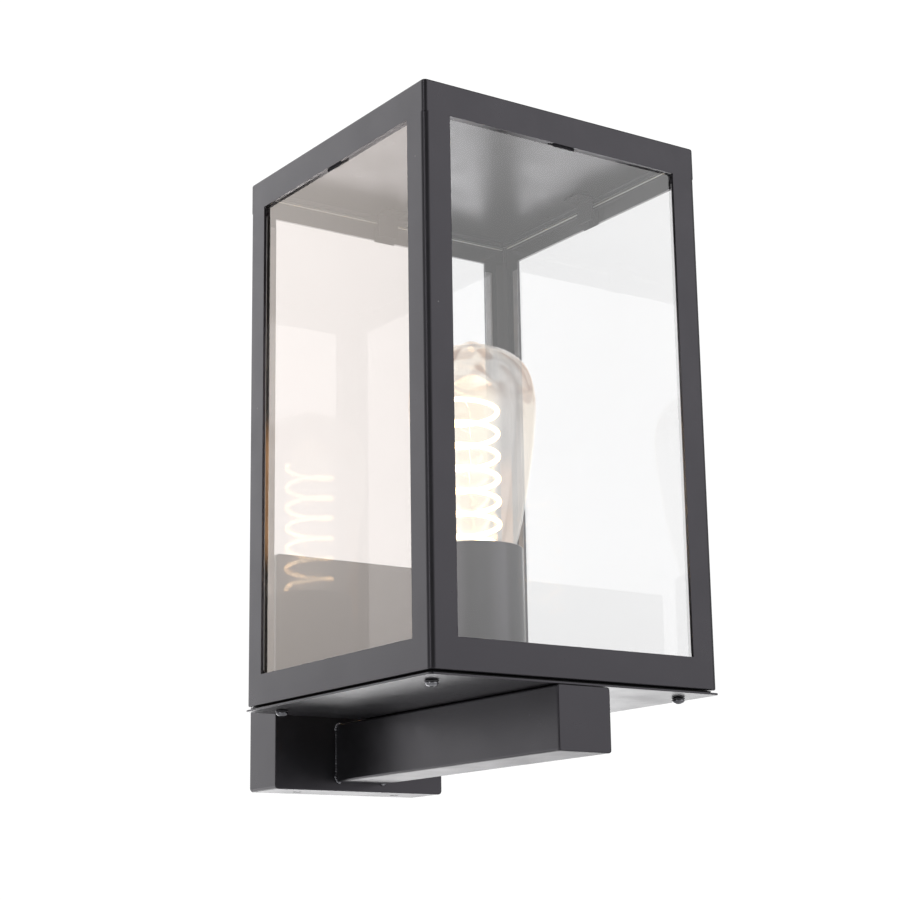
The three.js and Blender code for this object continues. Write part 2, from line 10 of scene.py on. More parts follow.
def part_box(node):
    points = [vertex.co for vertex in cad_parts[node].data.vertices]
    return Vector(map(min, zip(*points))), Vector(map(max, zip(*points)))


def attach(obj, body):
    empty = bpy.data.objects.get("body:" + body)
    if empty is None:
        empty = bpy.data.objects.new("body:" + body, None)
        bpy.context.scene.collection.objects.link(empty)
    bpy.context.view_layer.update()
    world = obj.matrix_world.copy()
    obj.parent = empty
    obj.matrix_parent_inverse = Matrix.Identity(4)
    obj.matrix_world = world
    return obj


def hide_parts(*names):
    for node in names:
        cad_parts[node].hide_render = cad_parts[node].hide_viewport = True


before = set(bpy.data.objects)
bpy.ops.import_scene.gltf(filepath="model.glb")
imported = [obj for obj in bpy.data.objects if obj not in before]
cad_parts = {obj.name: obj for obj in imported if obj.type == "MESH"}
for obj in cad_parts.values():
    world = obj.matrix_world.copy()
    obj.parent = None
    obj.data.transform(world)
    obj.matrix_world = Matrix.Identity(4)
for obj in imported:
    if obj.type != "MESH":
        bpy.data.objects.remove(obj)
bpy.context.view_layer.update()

MM = 0.001

# ---------------------------------------------------------------------------------------------
# Camera
# ---------------------------------------------------------------------------------------------

CAMERA_PLACE = (-0.5706, -0.9420, -0.1408)
CAMERA_YAW, CAMERA_PITCH, CAMERA_ROLL = -34.56, 13.73, -0.86     # degrees
CAMERA_LENS = 81.37


def add_camera():
    """The camera, from its place, its turn from +Y, its tilt and its lean."""
    yaw, pitch, roll = (math.radians(a) for a in (CAMERA_YAW, CAMERA_PITCH, CAMERA_ROLL))
    right = Vector((math.cos(yaw), math.sin(yaw), 0))
    ahead = Vector((-math.sin(yaw) * math.cos(pitch), math.cos(yaw) * math.cos(pitch), math.sin(pitch)))
    up = right.cross(ahead)
    side = right * math.cos(roll) + up * math.sin(roll)
    top = up * math.cos(roll) - right * math.sin(roll)
    camera = bpy.data.objects.new("camera", bpy.data.cameras.new("camera"))
    camera.data.lens = CAMERA_LENS
    camera.data.sensor_width = 36
    turn = Matrix((side, top, -ahead)).transposed().to_4x4()
    camera.matrix_world = Matrix.Translation(CAMERA_PLACE) @ turn
    bpy.context.scene.collection.objects.link(camera)
    bpy.context.scene.camera = camera


add_camera()

# ---------------------------------------------------------------------------------------------
# Measures, in millimetres. Heights of the hood, base plate, lampholder and bulb are above the
# hood's lower edge, and those of the wall box and arm are above the origin.
# ---------------------------------------------------------------------------------------------


def box_of(node):
    """Lowest and highest corner of a CAD node in millimetres."""
    return tuple(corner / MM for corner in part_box(node))


ROOF_LOW, ROOF_HIGH = box_of("roof_cap")
RAIL_LOW, RAIL_HIGH = box_of("bottom_frame")
PLATE_HALF = box_of("base_plate")[1].x
BOX_LOW, BOX_HIGH = box_of("wall_box")
ARM_LOW, ARM_HIGH = box_of("arm_tube")
ARM_FRONT = box_of("arm_end_cap")[0].y
PANE_LOW, PANE_HIGH = box_of("glass_front")
CLIP_LOW, CLIP_HIGH = box_of("glass_clip_front")
SCREW_LOW, SCREW_HIGH = box_of("corner_screw_front_right")
WASHER_LOW, WASHER_HIGH = box_of("corner_washer_front_right")

HOOD_HALF = ROOF_HIGH.x
HOOD_Y = (ROOF_LOW.y + ROOF_HIGH.y) / 2
HOOD_BOTTOM = RAIL_LOW.z
HOOD_TOP = ROOF_HIGH.z - HOOD_BOTTOM
TOP_SEAM = ROOF_LOW.z - HOOD_BOTTOM          # roof cap's skirt meets the posts
LOW_SEAM = RAIL_HIGH.z - HOOD_BOTTOM         # posts meet the bottom frame
SCREW_X = (SCREW_LOW.x + SCREW_HIGH.x) / 2
SCREW_Y = HOOD_Y - (SCREW_LOW.y + SCREW_HIGH.y) / 2
ARM_HALF = ARM_HIGH.x
ARM_MIDDLE = (ARM_LOW.z + ARM_HIGH.z) / 2

SHEET = 1.5
FOLD_RADIUS = 3                              # vertical corners of the posts and bottom frame
ROOF_RADIUS = 2.3                            # welded corners of the roof cap's skirt
CRISP = 0.5                                  # radius of a folded or ground edge
POST_LEG = 14.5
TAPE_WIDTH = 4.2
PANE_CHAMFER = 0.5
SEALANT_LEG = 4.5
CLIP_HOOK = 1.1                              # how far it shows below the roof cap
CLIP_HOOK_HALF = 6.3
LIP_HALF = HOOD_HALF - 15.75                 # mouth in the bottom frame
RIVET_OFFSET = 50
RIVET_HOLE, RIVET_RADIUS, RIVET_HEAD = 1.9, 1.6, 3.1
INSERT_HOLE, PLATE_HOLE = 3.3, 2.4           # for the corner screws, in the bottom frame and the plate
NIPPLE_HOLE = 5.3
SCREW_HOLE = 2.25
COVER_RADIUS = box_of("lampholder_cover")[1].x
M4_PITCH, M4_RADIUS, M4_DEPTH = 0.7, 1.78, 0.16       # middle radius and half depth of the thread
BULB_PITCH = 3.629                           # E27 thread

AT_WALL = Matrix.Scale(MM, 4)
AT_HOOD = Matrix.Translation((0, HOOD_Y * MM, HOOD_BOTTOM * MM)) @ AT_WALL

CORNERS = {"front_left": (-1, -1), "front_right": (1, -1), "back_right": (1, 1), "back_left": (-1, 1)}
QUARTER_TURNS = {(1, 1): 0, (-1, 1): 90, (-1, -1): 180, (1, -1): -90}      # from the corner +x +y
SIDES = {"front": 0, "right": 90, "back": 180, "left": -90}


def hood_heights(node):
    """Lowest and highest point of a CAD node above the hood's lower edge."""
    return tuple(corner.z - HOOD_BOTTOM for corner in box_of(node))


def turn_z(degrees):
    return Matrix.Rotation(math.radians(degrees), 4, "Z")


def shift(x, y, z):
    return Matrix.Translation((x, y, z))


def at_screw(x, y):
    """Where a corner's screw stands in the hood's frame."""
    return AT_HOOD @ shift(x * SCREW_X, y * SCREW_Y, 0)


ALONG_Y = Matrix.Rotation(math.radians(90), 4, "X")
STAND = Matrix(((0, 0, 1, 0), (1, 0, 0, 0), (0, 1, 0, 0), (0, 0, 0, 1)))    # lays a prism along X


# ---------------------------------------------------------------------------------------------
# Mesh helpers. They work in millimetres and give a bmesh.
# ---------------------------------------------------------------------------------------------


def outline(half_x, half_y, radius, steps=6):
    """A rectangle with rounded corners, counterclockwise, with as many points at any radius."""
    points = []
    for quarter, (sx, sy) in enumerate(((1, 1), (-1, 1), (-1, -1), (1, -1))):
        cx, cy = sx * (half_x - radius), sy * (half_y - radius)
        for step in range(steps + 1):
            angle = math.pi / 2 * (quarter + step / steps)
            points.append((cx + radius * math.cos(angle), cy + radius * math.sin(angle)))
    return points


def level(points, height):
    return [(x, y, height) for x, y in points]


def quarter_round(radius, steps=3):
    """Pairs of inset and drop from a side face, round an edge, to the face beyond it."""
    angles = [math.pi / 2 * step / steps for step in range(steps + 1)]
    return [(radius * (1 - math.cos(a)), radius * (1 - math.sin(a))) for a in angles]


def loft(rings, closed=False, caps=(False, False)):
    """Joins rings that have the same number of points by bands of faces."""
    bm = bmesh.new()
    verts = [[bm.verts.new(p) for p in ring] for ring in rings]
    following = verts[1:] + (verts[:1] if closed else [])
    for a, b in zip(verts, following):
        for i in range(len(a)):
            j = (i + 1) % len(a)
            bm.faces.new((a[i], a[j], b[j], b[i]))
    if caps[0]:
        bm.faces.new(reversed(verts[0]))
    if caps[1]:
        bm.faces.new(verts[-1])
    return bm


def prism(points, low, high):
    """A flat outline raised between two heights."""
    return loft([level(points, low), level(points, high)], caps=(True, True))


def slab(half_x, half_y, low, high, radius, edge):
    """A plate with rounded corners and softened edges."""
    rings = [level(outline(half_x - i, half_y - i, radius - i / 2), low + d)
             for i, d in reversed(quarter_round(edge, 2))]
    rings += [level(outline(half_x - i, half_y - i, radius - i / 2), high - d)
              for i, d in quarter_round(edge, 2)]
    return loft(rings, caps=(True, True))


def bar(half_x, half_y, low, high):
    """An upright block with sharp edges."""
    corners = [(-half_x, -half_y), (half_x, -half_y), (half_x, half_y), (-half_x, half_y)]
    return prism(corners, low, high)


def triangle_wave(angle):
    return math.asin(math.cos(angle)) * 2 / math.pi


def lathe(profile, segments=64, closed=False, pitch=1, wave=math.cos):
    """A body of revolution about Z from (radius, height) points. A third number at a point is how deep
    a right-hand thread of that pitch waves there."""
    bm = bmesh.new()
    rings = []
    for radius, height, *depth in profile:
        if radius < 1e-6:
            rings.append([bm.verts.new((0, 0, height))])
            continue
        ring = []
        for i in range(segments):
            angle = 2 * math.pi * i / segments
            r = radius + (depth[0] * wave(2 * math.pi * height / pitch - angle) if depth else 0)
            ring.append(bm.verts.new((r * math.cos(angle), r * math.sin(angle), height)))
        rings.append(ring)
    following = rings[1:] + (rings[:1] if closed else [])
    for a, b in zip(rings, following):
        for i in range(segments):
            j = (i + 1) % segments
            corners = [a[i % len(a)], a[j % len(a)], b[j % len(b)], b[i % len(b)]]
            corners = [v for k, v in enumerate(corners) if v not in corners[:k]]
            if len(corners) > 2:
                bm.faces.new(corners)
    return bm


def thread(radius, depth, low, high, pitch, rows=8, fade=0.5):
    """Profile points of a threaded stretch, whose thread fades in and out over a share of a pitch."""
    count = max(4, round(abs(high - low) / pitch * rows))
    points = []
    for i in range(count + 1):
        height = low + (high - low) * i / count
        near_end = min(abs(height - low), abs(high - height)) / pitch
        points.append((radius, height, depth * min(1, near_end / fade)))
    return points


def m4_thread(low, high):
    return thread(M4_RADIUS, M4_DEPTH, low, high, M4_PITCH)


def m4_body(profile, segments):
    """A turned part with an M4 thread on some of its profile."""
    return lathe(profile, segments, pitch=M4_PITCH, wave=triangle_wave)


def arc(centre, radius, start, end, steps=6):
    """Points on an arc, angles in degrees."""
    angles = [math.radians(start + (end - start) * i / steps) for i in range(steps + 1)]
    return [(centre[0] + radius * math.cos(a), centre[1] + radius * math.sin(a)) for a in angles]


def bent_strip(corners, thickness, bend):
    """The outline of a sheet bent along a line of corners, bend being the radius at its middle."""
    steps = 6
    points = [Vector(c) for c in corners]
    line = [points[0]]
    for before, at, after in zip(points, points[1:], points[2:]):
        into, out = (at - before).normalized(), (after - at).normalized()
        half = into.angle(out) / 2
        reach = bend * math.tan(half)
        start = at - into * reach
        inward = (out - into).normalized()
        centre = at + inward * (bend / math.cos(half))
        sweep = into.angle_signed(out)
        for step in range(steps + 1):
            spoke = (start - centre).to_3d()
            turned = Matrix.Rotation(-sweep * step / steps, 3, "Z") @ spoke
            line.append(centre + turned.to_2d())
    line.append(points[-1])
    left, right = [], []
    for i, p in enumerate(line):
        ahead = (line[min(i + 1, len(line) - 1)] - line[max(i - 1, 0)]).normalized()
        normal = Vector((-ahead.y, ahead.x)) * (thickness / 2)
        left.append(tuple(p + normal))
        right.append(tuple(p - normal))
    return left + right[::-1]


def smooth_line(points, per_span=8):
    """A centripetal Catmull-Rom curve through points."""
    points = [Vector(p) for p in points]
    ends = [points[0] * 2 - points[1], *points, points[-1] * 2 - points[-2]]
    line = []
    for p0, p1, p2, p3 in zip(ends, ends[1:], ends[2:], ends[3:]):
        t0 = 0
        t1 = t0 + (p1 - p0).length ** 0.5
        t2 = t1 + (p2 - p1).length ** 0.5
        t3 = t2 + (p3 - p2).length ** 0.5
        for step in range(per_span):
            t = t1 + (t2 - t1) * step / per_span
            a1 = p0.lerp(p1, (t - t0) / (t1 - t0))
            a2 = p1.lerp(p2, (t - t1) / (t2 - t1))
            a3 = p2.lerp(p3, (t - t2) / (t3 - t2))
            b1 = a1.lerp(a2, (t - t0) / (t2 - t0))
            b2 = a2.lerp(a3, (t - t1) / (t3 - t1))
            line.append(b1.lerp(b2, (t - t1) / (t2 - t1)))
    line.append(points[-1])
    return line


def sweep(line, radius, sides=12, rounded=0.0):
    """A round bar along a line of points. Rounded ends narrow over that share of the radius."""
    line = [Vector(p) for p in line]
    tangents = [(after - before).normalized()
                for before, after in zip([line[0], *line], [*line[1:], line[-1]])]
    normal = tangents[0].orthogonal().normalized()
    rings = []
    for point, tangent in zip(line, tangents):
        normal = (normal - tangent * normal.dot(tangent)).normalized()
        other = tangent.cross(normal)
        rings.append([point + (normal * math.cos(a) + other * math.sin(a)) * radius
                      for a in (2 * math.pi * k / sides for k in range(sides))])
    if rounded:
        for end, tangent, at in ((0, -tangents[0], line[0]), (-1, tangents[-1], line[-1])):
            tip = [at + (p - at) * 0.5 + tangent * radius * rounded for p in rings[end]]
            rings.insert(0 if end == 0 else len(rings), tip)
    return loft(rings, caps=(True, True))


def into_scene(obj):
    bpy.context.scene.collection.objects.link(obj)
    return obj


def moved(bm, matrix):
    bmesh.ops.transform(bm, matrix=matrix, verts=bm.verts)
    return bm


def joined(*meshes):
    """One bmesh that holds the shells of several."""
    whole = bmesh.new()
    for bm in meshes:
        part = bpy.data.meshes.new("part")
        bm.to_mesh(part)
        bm.free()
        whole.from_mesh(part)
        bpy.data.meshes.remove(part)
    return whole


def carved(bm, *cutters, operation="DIFFERENCE"):
    """bm with the cutters taken away, or its share of each one, by exact booleans."""
    made = []
    for piece in (bm, *cutters):
        bmesh.ops.recalc_face_normals(piece, faces=piece.faces)
        mesh = bpy.data.meshes.new("carving")
        piece.to_mesh(mesh)
        piece.free()
        made.append(into_scene(bpy.data.objects.new("carving", mesh)))
    for cutter in made[1:]:
        step = made[0].modifiers.new("cut", "BOOLEAN")
        step.operation, step.solver, step.object = operation, "EXACT", cutter
    evaluated = made[0].evaluated_get(bpy.context.evaluated_depsgraph_get())
    result = bmesh.new()
    result.from_mesh(evaluated.to_mesh())
    evaluated.to_mesh_clear()
    for obj in made:
        mesh = obj.data
        bpy.data.objects.remove(obj)
        bpy.data.meshes.remove(mesh)
    return result


def drill(radius, low, high, x=0.0, y=0.0, sides=48):
    """An upright cutter."""
    return moved(lathe([(0, low), (radius, low), (radius, high), (0, high)], sides), shift(x, y, 0))


def along_y(bm):
    """Turns upright to lying along -Y: heights become distances in front of the wall."""
    return moved(bm, ALONG_Y)


# ---------------------------------------------------------------------------------------------
# Materials
# ---------------------------------------------------------------------------------------------


class Shader:
    """A material with a Principled shader and short ways to feed it."""

    def __init__(self, name, **sockets):
        self.material = bpy.data.materials.new(name)
        self.material.use_nodes = True
        self.tree = self.material.node_tree
        self.tree.nodes.clear()
        self.output = self.node("ShaderNodeOutputMaterial")
        self.surface = self.node("ShaderNodeBsdfPrincipled")
        self.show(self.surface.outputs[0])
        self.place = self.node("ShaderNodeTexCoord").outputs["Object"]
        for socket, value in sockets.items():
            self.surface.inputs[socket.replace("_", " ")].default_value = value

    def node(self, kind, **settings):
        made = self.tree.nodes.new(kind)
        for key, value in settings.items():
            setattr(made, key, value)
        return made

    def show(self, shader):
        self.tree.links.new(shader, self.output.inputs["Surface"])

    def layered(self, share, below, above):
        """A share of one shader over another."""
        mix = self.node("ShaderNodeMixShader")
        for socket, value in zip(mix.inputs, (share, below, above)):
            self.feed(socket, value)
        return mix.outputs[0]

    def feed(self, socket, value):
        if isinstance(value, bpy.types.NodeSocket):
            self.tree.links.new(value, socket)
        else:
            socket.default_value = value

    def noise(self, scale, detail=2.0, roughness=0.5, distortion=0.0):
        made = self.node("ShaderNodeTexNoise")
        self.feed(made.inputs["Vector"], self.place)
        for socket, value in (("Scale", scale), ("Detail", detail), ("Roughness", roughness),
                              ("Distortion", distortion)):
            made.inputs[socket].default_value = value
        return made.outputs["Fac"]

    def stretched_noise(self, scales, detail=2.0):
        """Noise with its own scale along each axis, for brushed or drawn metal."""
        mapping = self.node("ShaderNodeMapping")
        self.feed(mapping.inputs["Vector"], self.place)
        mapping.inputs["Scale"].default_value = scales
        made = self.node("ShaderNodeTexNoise")
        self.feed(made.inputs["Vector"], mapping.outputs[0])
        made.inputs["Scale"].default_value = 1
        made.inputs["Detail"].default_value = detail
        return made.outputs["Fac"]

    def remap(self, value, from_low, from_high, to_low, to_high, smooth=False):
        made = self.node("ShaderNodeMapRange")
        if smooth:
            made.interpolation_type = "SMOOTHSTEP"
        self.feed(made.inputs["Value"], value)
        for socket, number in (("From Min", from_low), ("From Max", from_high),
                               ("To Min", to_low), ("To Max", to_high)):
            made.inputs[socket].default_value = number
        return made.outputs["Result"]

    def math(self, operation, a, b):
        made = self.node("ShaderNodeMath", operation=operation)
        self.feed(made.inputs[0], a)
        self.feed(made.inputs[1], b)
        return made.outputs[0]

    def blend(self, share, a, b):
        """A colour between a and b."""
        made = self.node("ShaderNodeMix", data_type="RGBA")
        self.feed(made.inputs["Factor"], share)
        for socket, value in ((made.inputs[6], a), (made.inputs[7], b)):
            self.feed(socket, value if isinstance(value, bpy.types.NodeSocket) else (*value, 1))
        return made.outputs[2]

    def specks(self, scale, size):
        """1 at rare small specks and 0 elsewhere."""
        made = self.node("ShaderNodeTexVoronoi")
        self.feed(made.inputs["Vector"], self.place)
        made.inputs["Scale"].default_value = scale
        return self.remap(made.outputs["Distance"], size * 0.6, size, 1, 0, smooth=True)

    def bump(self, *layers):
        """Relief from (height, depth in metres) layers."""
        normal = None
        for height, depth in layers:
            made = self.node("ShaderNodeBump")
            made.inputs["Strength"].default_value = 1
            made.inputs["Distance"].default_value = depth
            self.feed(made.inputs["Height"], height)
            if normal is not None:
                self.feed(made.inputs["Normal"], normal)
            normal = made.outputs[0]
        self.feed(self.surface.inputs["Normal"], normal)

    def colour(self, value):
        self.feed(self.surface.inputs["Base Color"], value)

    def roughness(self, value):
        self.feed(self.surface.inputs["Roughness"], value)


def powder_coat(name, dark, light, rough_low, rough_high, dust=True):
    """Powder coat: a fine orange-peel relief, cloudy gloss and, where asked, a few specks of dust."""
    s = Shader(name, IOR=1.55, Specular_Tint=(0.94, 0.89, 1.0, 1.0))
    clouds = s.noise(45, detail=3, roughness=0.6)
    grain = s.noise(1400, detail=2)
    colour = s.blend(s.remap(clouds, 0.3, 0.7, 0, 1), dark, light)
    uneven = s.math("ADD", clouds, s.math("MULTIPLY", grain, 0.4))
    rough = s.remap(uneven, 0.45, 0.95, rough_low, rough_high)
    if dust:
        specks = s.specks(62, 0.022)
        colour = s.blend(s.math("MULTIPLY", specks, 0.5), colour, (0.5, 0.49, 0.47))
        s.roughness(s.math("MAXIMUM", rough, s.math("MULTIPLY", specks, 0.8)))
    else:
        s.roughness(rough)
    s.colour(colour)
    s.bump((s.noise(24, detail=1), 0.00010), (s.noise(800, detail=2), 0.000006), (grain, 0.000002))
    return s.material


def plated_steel(name, dark, light, rough_low, rough_high):
    """Plated, blackened or bare metal with faint drawn grain and stains."""
    s = Shader(name, Metallic=1.0)
    stains = s.noise(90, detail=4, roughness=0.65)
    grain = s.stretched_noise((150, 900, 2600), detail=3)
    s.colour(s.blend(s.remap(stains, 0.35, 0.7, 0, 1), dark, light))
    uneven = s.math("ADD", stains, s.math("MULTIPLY", grain, 0.5))
    s.roughness(s.remap(uneven, 0.45, 1.05, rough_low, rough_high))
    s.bump((grain, 0.00001), (s.noise(320, detail=2), 0.000012))
    return s.material


def moulded(name, dark, light, rough, relief_scale=900, relief=0.00001):
    """Plastic, rubber, foam or black glass with a fine relief and slight clouds of colour."""
    s = Shader(name)
    clouds = s.noise(120, detail=3)
    relief_noise = s.noise(relief_scale, detail=3)
    s.colour(s.blend(s.remap(clouds, 0.3, 0.7, 0, 1), dark, light))
    s.roughness(s.remap(relief_noise, 0.3, 0.7, rough - 0.06, rough + 0.06))
    s.bump((relief_noise, relief))
    return s.material


def see_through(s, share, tint, solid):
    """Puts a clear shader in front of solid by share: 0 is all clear."""
    clear = s.node("ShaderNodeBsdfTransparent")
    clear.inputs["Color"].default_value = (*tint, 1)
    s.show(s.layered(share, clear.outputs[0], solid))


def mirror_share(s, straight, grazing, power):
    """How much a clear sheet mirrors: a share when seen straight on, more towards grazing angles."""
    facing = s.node("ShaderNodeLayerWeight").outputs["Facing"]
    return s.math("ADD", s.math("MULTIPLY", s.math("POWER", facing, power), grazing), straight)


def pane_glass(name, straight, sheen):
    """Outer face of a pane. It mirrors for the whole sheet, and faint smears dull it here and there."""
    s = Shader(name)
    s.tree.nodes.remove(s.surface)
    mirror = s.node("ShaderNodeBsdfGlossy")
    mirror.inputs["Color"].default_value = (*sheen, 1)
    smears = s.noise(28, detail=4, roughness=0.6)
    s.feed(mirror.inputs["Roughness"], s.remap(smears, 0.45, 0.75, 0.008, 0.04))
    see_through(s, mirror_share(s, straight, 0.9, 4.0), (0.94, 0.94, 0.94), mirror.outputs[0])
    return s.material


def pane_inside(name, dark, light):
    """Inner face of a pane: a slight and uneven tint, no mirror of its own."""
    s = Shader(name)
    s.tree.nodes.remove(s.surface)
    clear = s.node("ShaderNodeBsdfTransparent")
    s.feed(clear.inputs["Color"], s.blend(s.noise(12, detail=3), dark, light))
    s.show(clear.outputs[0])
    return s.material


def pane_edge(name, dark, light, share):
    """Ground edge of the glass."""
    s = Shader(name, Roughness=0.35)
    s.colour(s.blend(s.noise(700, detail=2), dark, light))
    see_through(s, share, (0.8, 0.86, 0.85), s.surface.outputs[0])
    return s.material


def between_heights(s, low, high, fade):
    """1 between two heights in metres, 0 away from them."""
    height = s.node("ShaderNodeSeparateXYZ")
    s.feed(height.inputs[0], s.place)
    rising = s.remap(height.outputs["Z"], low - fade, low, 0, 1, smooth=True)
    falling = s.remap(height.outputs["Z"], high, high + fade, 1, 0, smooth=True)
    return s.math("MULTIPLY", rising, falling)


def sealant_with_painted_glow():
    """Clear sealant in the glass corners, with a painted amber glow at the filament's height that stands in
    for the filament's light caught in the glass.
    """
    s = Shader("sealant_with_painted_glow", Roughness=0.3)
    s.colour(s.blend(s.noise(400, detail=2), (0.02, 0.02, 0.022), (0.05, 0.048, 0.045)))
    uneven = s.remap(s.noise(60, detail=3), 0.3, 0.7, 0.35, 0.7)
    # Painted light: an amber emission between the filament's heights, though the sealant is no lamp.
    s.surface.inputs["Emission Color"].default_value = (1.0, 0.56, 0.26, 1)
    painted_amber_glow = s.math("MULTIPLY", uneven, between_heights(s, 0.062, 0.108, 0.02))
    s.feed(s.surface.inputs["Emission Strength"], painted_amber_glow)
    see_through(s, 0.42, (0.96, 0.94, 0.92), s.surface.outputs[0])
    return s.material


def bulb_glass():
    """Thin blown glass, faintly amber and darker near its crown. It wears a painted glow, warm before the
    filament, that stands in for the glare round the filament."""
    s = Shader("bulb_glass")
    s.tree.nodes.remove(s.surface)
    mirror = s.node("ShaderNodeBsdfGlossy")
    mirror.inputs["Color"].default_value = (1, 1, 1, 1)
    mirror.inputs["Roughness"].default_value = 0.02
    facing = s.node("ShaderNodeLayerWeight").outputs["Facing"]
    middle = s.remap(facing, 0.02, 0.16, 1, 0, smooth=True)
    beside = s.math("MULTIPLY", middle, between_heights(s, 0.05, 0.13, 0.012))
    # Painted light: an emission veil on the glass, strongest where it faces straight on and beside the
    # filament.
    painted_veil = s.node("ShaderNodeEmission")
    s.feed(painted_veil.inputs["Color"], s.blend(middle, (0.95, 0.96, 1.0), (1.0, 0.94, 0.82)))
    painted_veil.inputs["Strength"].default_value = 1.2
    clear = s.node("ShaderNodeBsdfTransparent")
    amber = s.blend(s.math("POWER", facing, 2.0), (0.99, 0.955, 0.90), (0.99, 0.955, 0.89))
    # Darker in streaks near the crown and where the shoulder is seen edge-on.
    streaks = s.remap(s.noise(50, detail=1, distortion=1.2), 0.5, 0.58, 0, 1, smooth=True)
    crown = s.math("MULTIPLY", streaks, between_heights(s, 0.128, 0.15, 0.01))
    edge_on = s.remap(facing, 0.82, 0.95, 0, 1, smooth=True)
    brim = s.math("MULTIPLY", edge_on, between_heights(s, 0.125, 0.16, 0.015))
    crown_darkening = s.math("MAXIMUM", crown, brim)
    s.feed(clear.inputs["Color"], s.blend(crown_darkening, amber, (0.72, 0.58, 0.46)))
    uneven = s.remap(s.noise(35, detail=2), 0.3, 0.7, 0.8, 1.2)
    light = s.math("ADD", s.remap(middle, 0, 1, 0.13, 0.22), s.math("MULTIPLY", beside, 0.2))
    under_painted_veil = s.layered(s.math("MULTIPLY", uneven, light), clear.outputs[0], painted_veil.outputs[0])
    s.show(s.layered(mirror_share(s, 0.05, 0.25, 6.0), under_painted_veil, mirror.outputs[0]))
    return s.material


def glowing_filament():
    """Phosphor-coated filament: warm light, a little uneven along its length."""
    s = Shader("filament", Roughness=0.5)
    uneven = s.noise(260, detail=2)
    s.colour(s.blend(uneven, (1.0, 0.72, 0.36), (1.0, 0.80, 0.46)))
    rim = s.node("ShaderNodeLayerWeight").outputs["Facing"]
    s.feed(s.surface.inputs["Emission Color"], s.blend(rim, (1.0, 0.82, 0.56), (1.0, 0.66, 0.32)))
    s.feed(s.surface.inputs["Emission Strength"], s.remap(rim, 0.2, 0.9, 14, 4))
    return s.material


def porcelain():
    """Glazed porcelain, off white and slightly clouded."""
    s = Shader("porcelain", Roughness=0.18)
    s.surface.inputs["Coat Weight"].default_value = 0.5
    clouds = s.remap(s.noise(150, detail=4), 0.35, 0.7, 0, 1)
    s.colour(s.blend(clouds, (0.78, 0.76, 0.70), (0.86, 0.85, 0.81)))
    s.bump((s.noise(300, detail=3), 0.00003))
    return s.material


COAT = powder_coat("black_coat", (0.009, 0.009, 0.010), (0.014, 0.014, 0.0155), 0.27, 0.37)
DULL_COAT = powder_coat("dull_coat", (0.009, 0.009, 0.010), (0.014, 0.014, 0.0155), 0.42, 0.50)
# The black coat made lighter for the lampholder cover: painted light for the sheen the front pane lays over
# it.
PAINTED_LIGHTER_COVER_COAT = powder_coat("painted_lighter_cover_coat", (0.040, 0.039, 0.042), (0.052, 0.051, 0.055), 0.27, 0.37)
CLIP_COAT = powder_coat("clip_coat", (0.006, 0.006, 0.007), (0.010, 0.010, 0.011), 0.6, 0.75, dust=False)
SCREW_COAT = powder_coat("black_screw", (0.02, 0.02, 0.022), (0.045, 0.045, 0.047), 0.22, 0.36, dust=False)
BLACKENED = plated_steel("blackened_steel", (0.09, 0.09, 0.10), (0.28, 0.28, 0.30), 0.16, 0.32)
ZINC = plated_steel("zinc_plate", (0.50, 0.51, 0.53), (0.66, 0.67, 0.68), 0.28, 0.46)
NICKEL = plated_steel("nickel_plate", (0.62, 0.60, 0.56), (0.76, 0.74, 0.70), 0.18, 0.32)
BRASS = plated_steel("brass", (0.60, 0.46, 0.22), (0.74, 0.59, 0.31), 0.22, 0.38)
PORCELAIN = porcelain()
RUBBER = moulded("black_rubber", (0.016, 0.016, 0.017), (0.024, 0.024, 0.025), 0.72, 1500, 0.00003)
FOAM = moulded("black_foam", (0.010, 0.010, 0.010), (0.018, 0.018, 0.018), 0.9, 2200, 0.0002)
WHITE_PLASTIC = moulded("white_plastic", (0.72, 0.71, 0.67), (0.80, 0.79, 0.76), 0.45)
BLACK_GLASS = moulded("black_glass", (0.012, 0.010, 0.012), (0.02, 0.018, 0.02), 0.16, 400, 0.00002)
BROWN = moulded("brown_insulation", (0.16, 0.075, 0.035), (0.20, 0.10, 0.05), 0.42)
BLUE = moulded("blue_insulation", (0.03, 0.12, 0.36), (0.045, 0.16, 0.44), 0.42)
GREEN = moulded("green_insulation", (0.10, 0.27, 0.03), (0.45, 0.50, 0.05), 0.42)
PANE = pane_glass("pane_glass", 0.09, (1, 1, 1))
PANE_INSIDE = pane_inside("pane_inside", (0.945, 0.945, 0.947), (0.965, 0.965, 0.967))
# Copies for the left pane, painted light: a warmer, stronger mirror and a darker warm tint for the
# filament's light and the sheen on that side.
PANE_PAINTED_WARM_SHEEN = pane_glass("pane_glass_painted_warm_sheen", 0.105, (1.0, 0.92, 0.86))
PANE_INSIDE_PAINTED_WARM_TINT = pane_inside("pane_inside_painted_warm_tint", (0.79, 0.75, 0.735), (0.81, 0.77, 0.755))
# Two copies of the ground edge: lighter for the level arrises and darker for the rest, painted light and
# shade.
PAINTED_LIT_PANE_EDGE = pane_edge("painted_lit_pane_edge", (0.62, 0.68, 0.66), (0.80, 0.84, 0.83), 0.8)
PAINTED_SHADED_PANE_EDGE = pane_edge("pane_edge", (0.015, 0.017, 0.02), (0.04, 0.042, 0.045), 0.75)
# Sealant with a painted amber glow.
SEALANT = sealant_with_painted_glow()
TAPE = moulded("grey_glazing_tape", (0.40, 0.40, 0.42), (0.52, 0.52, 0.54), 0.6, 600, 0.00003)
BULB_GLASS = bulb_glass()
FILAMENT = glowing_filament()

# ---------------------------------------------------------------------------------------------
# Pieces
# ---------------------------------------------------------------------------------------------


def soften_edges(obj, width, angle):
    """Rounds edges that are sharper than an angle in degrees by a width in millimetres."""
    bevel = obj.modifiers.new("edges", "BEVEL")
    bevel.width = width * MM
    bevel.segments = 2
    bevel.limit_method = "ANGLE"
    bevel.angle_limit = math.radians(angle)


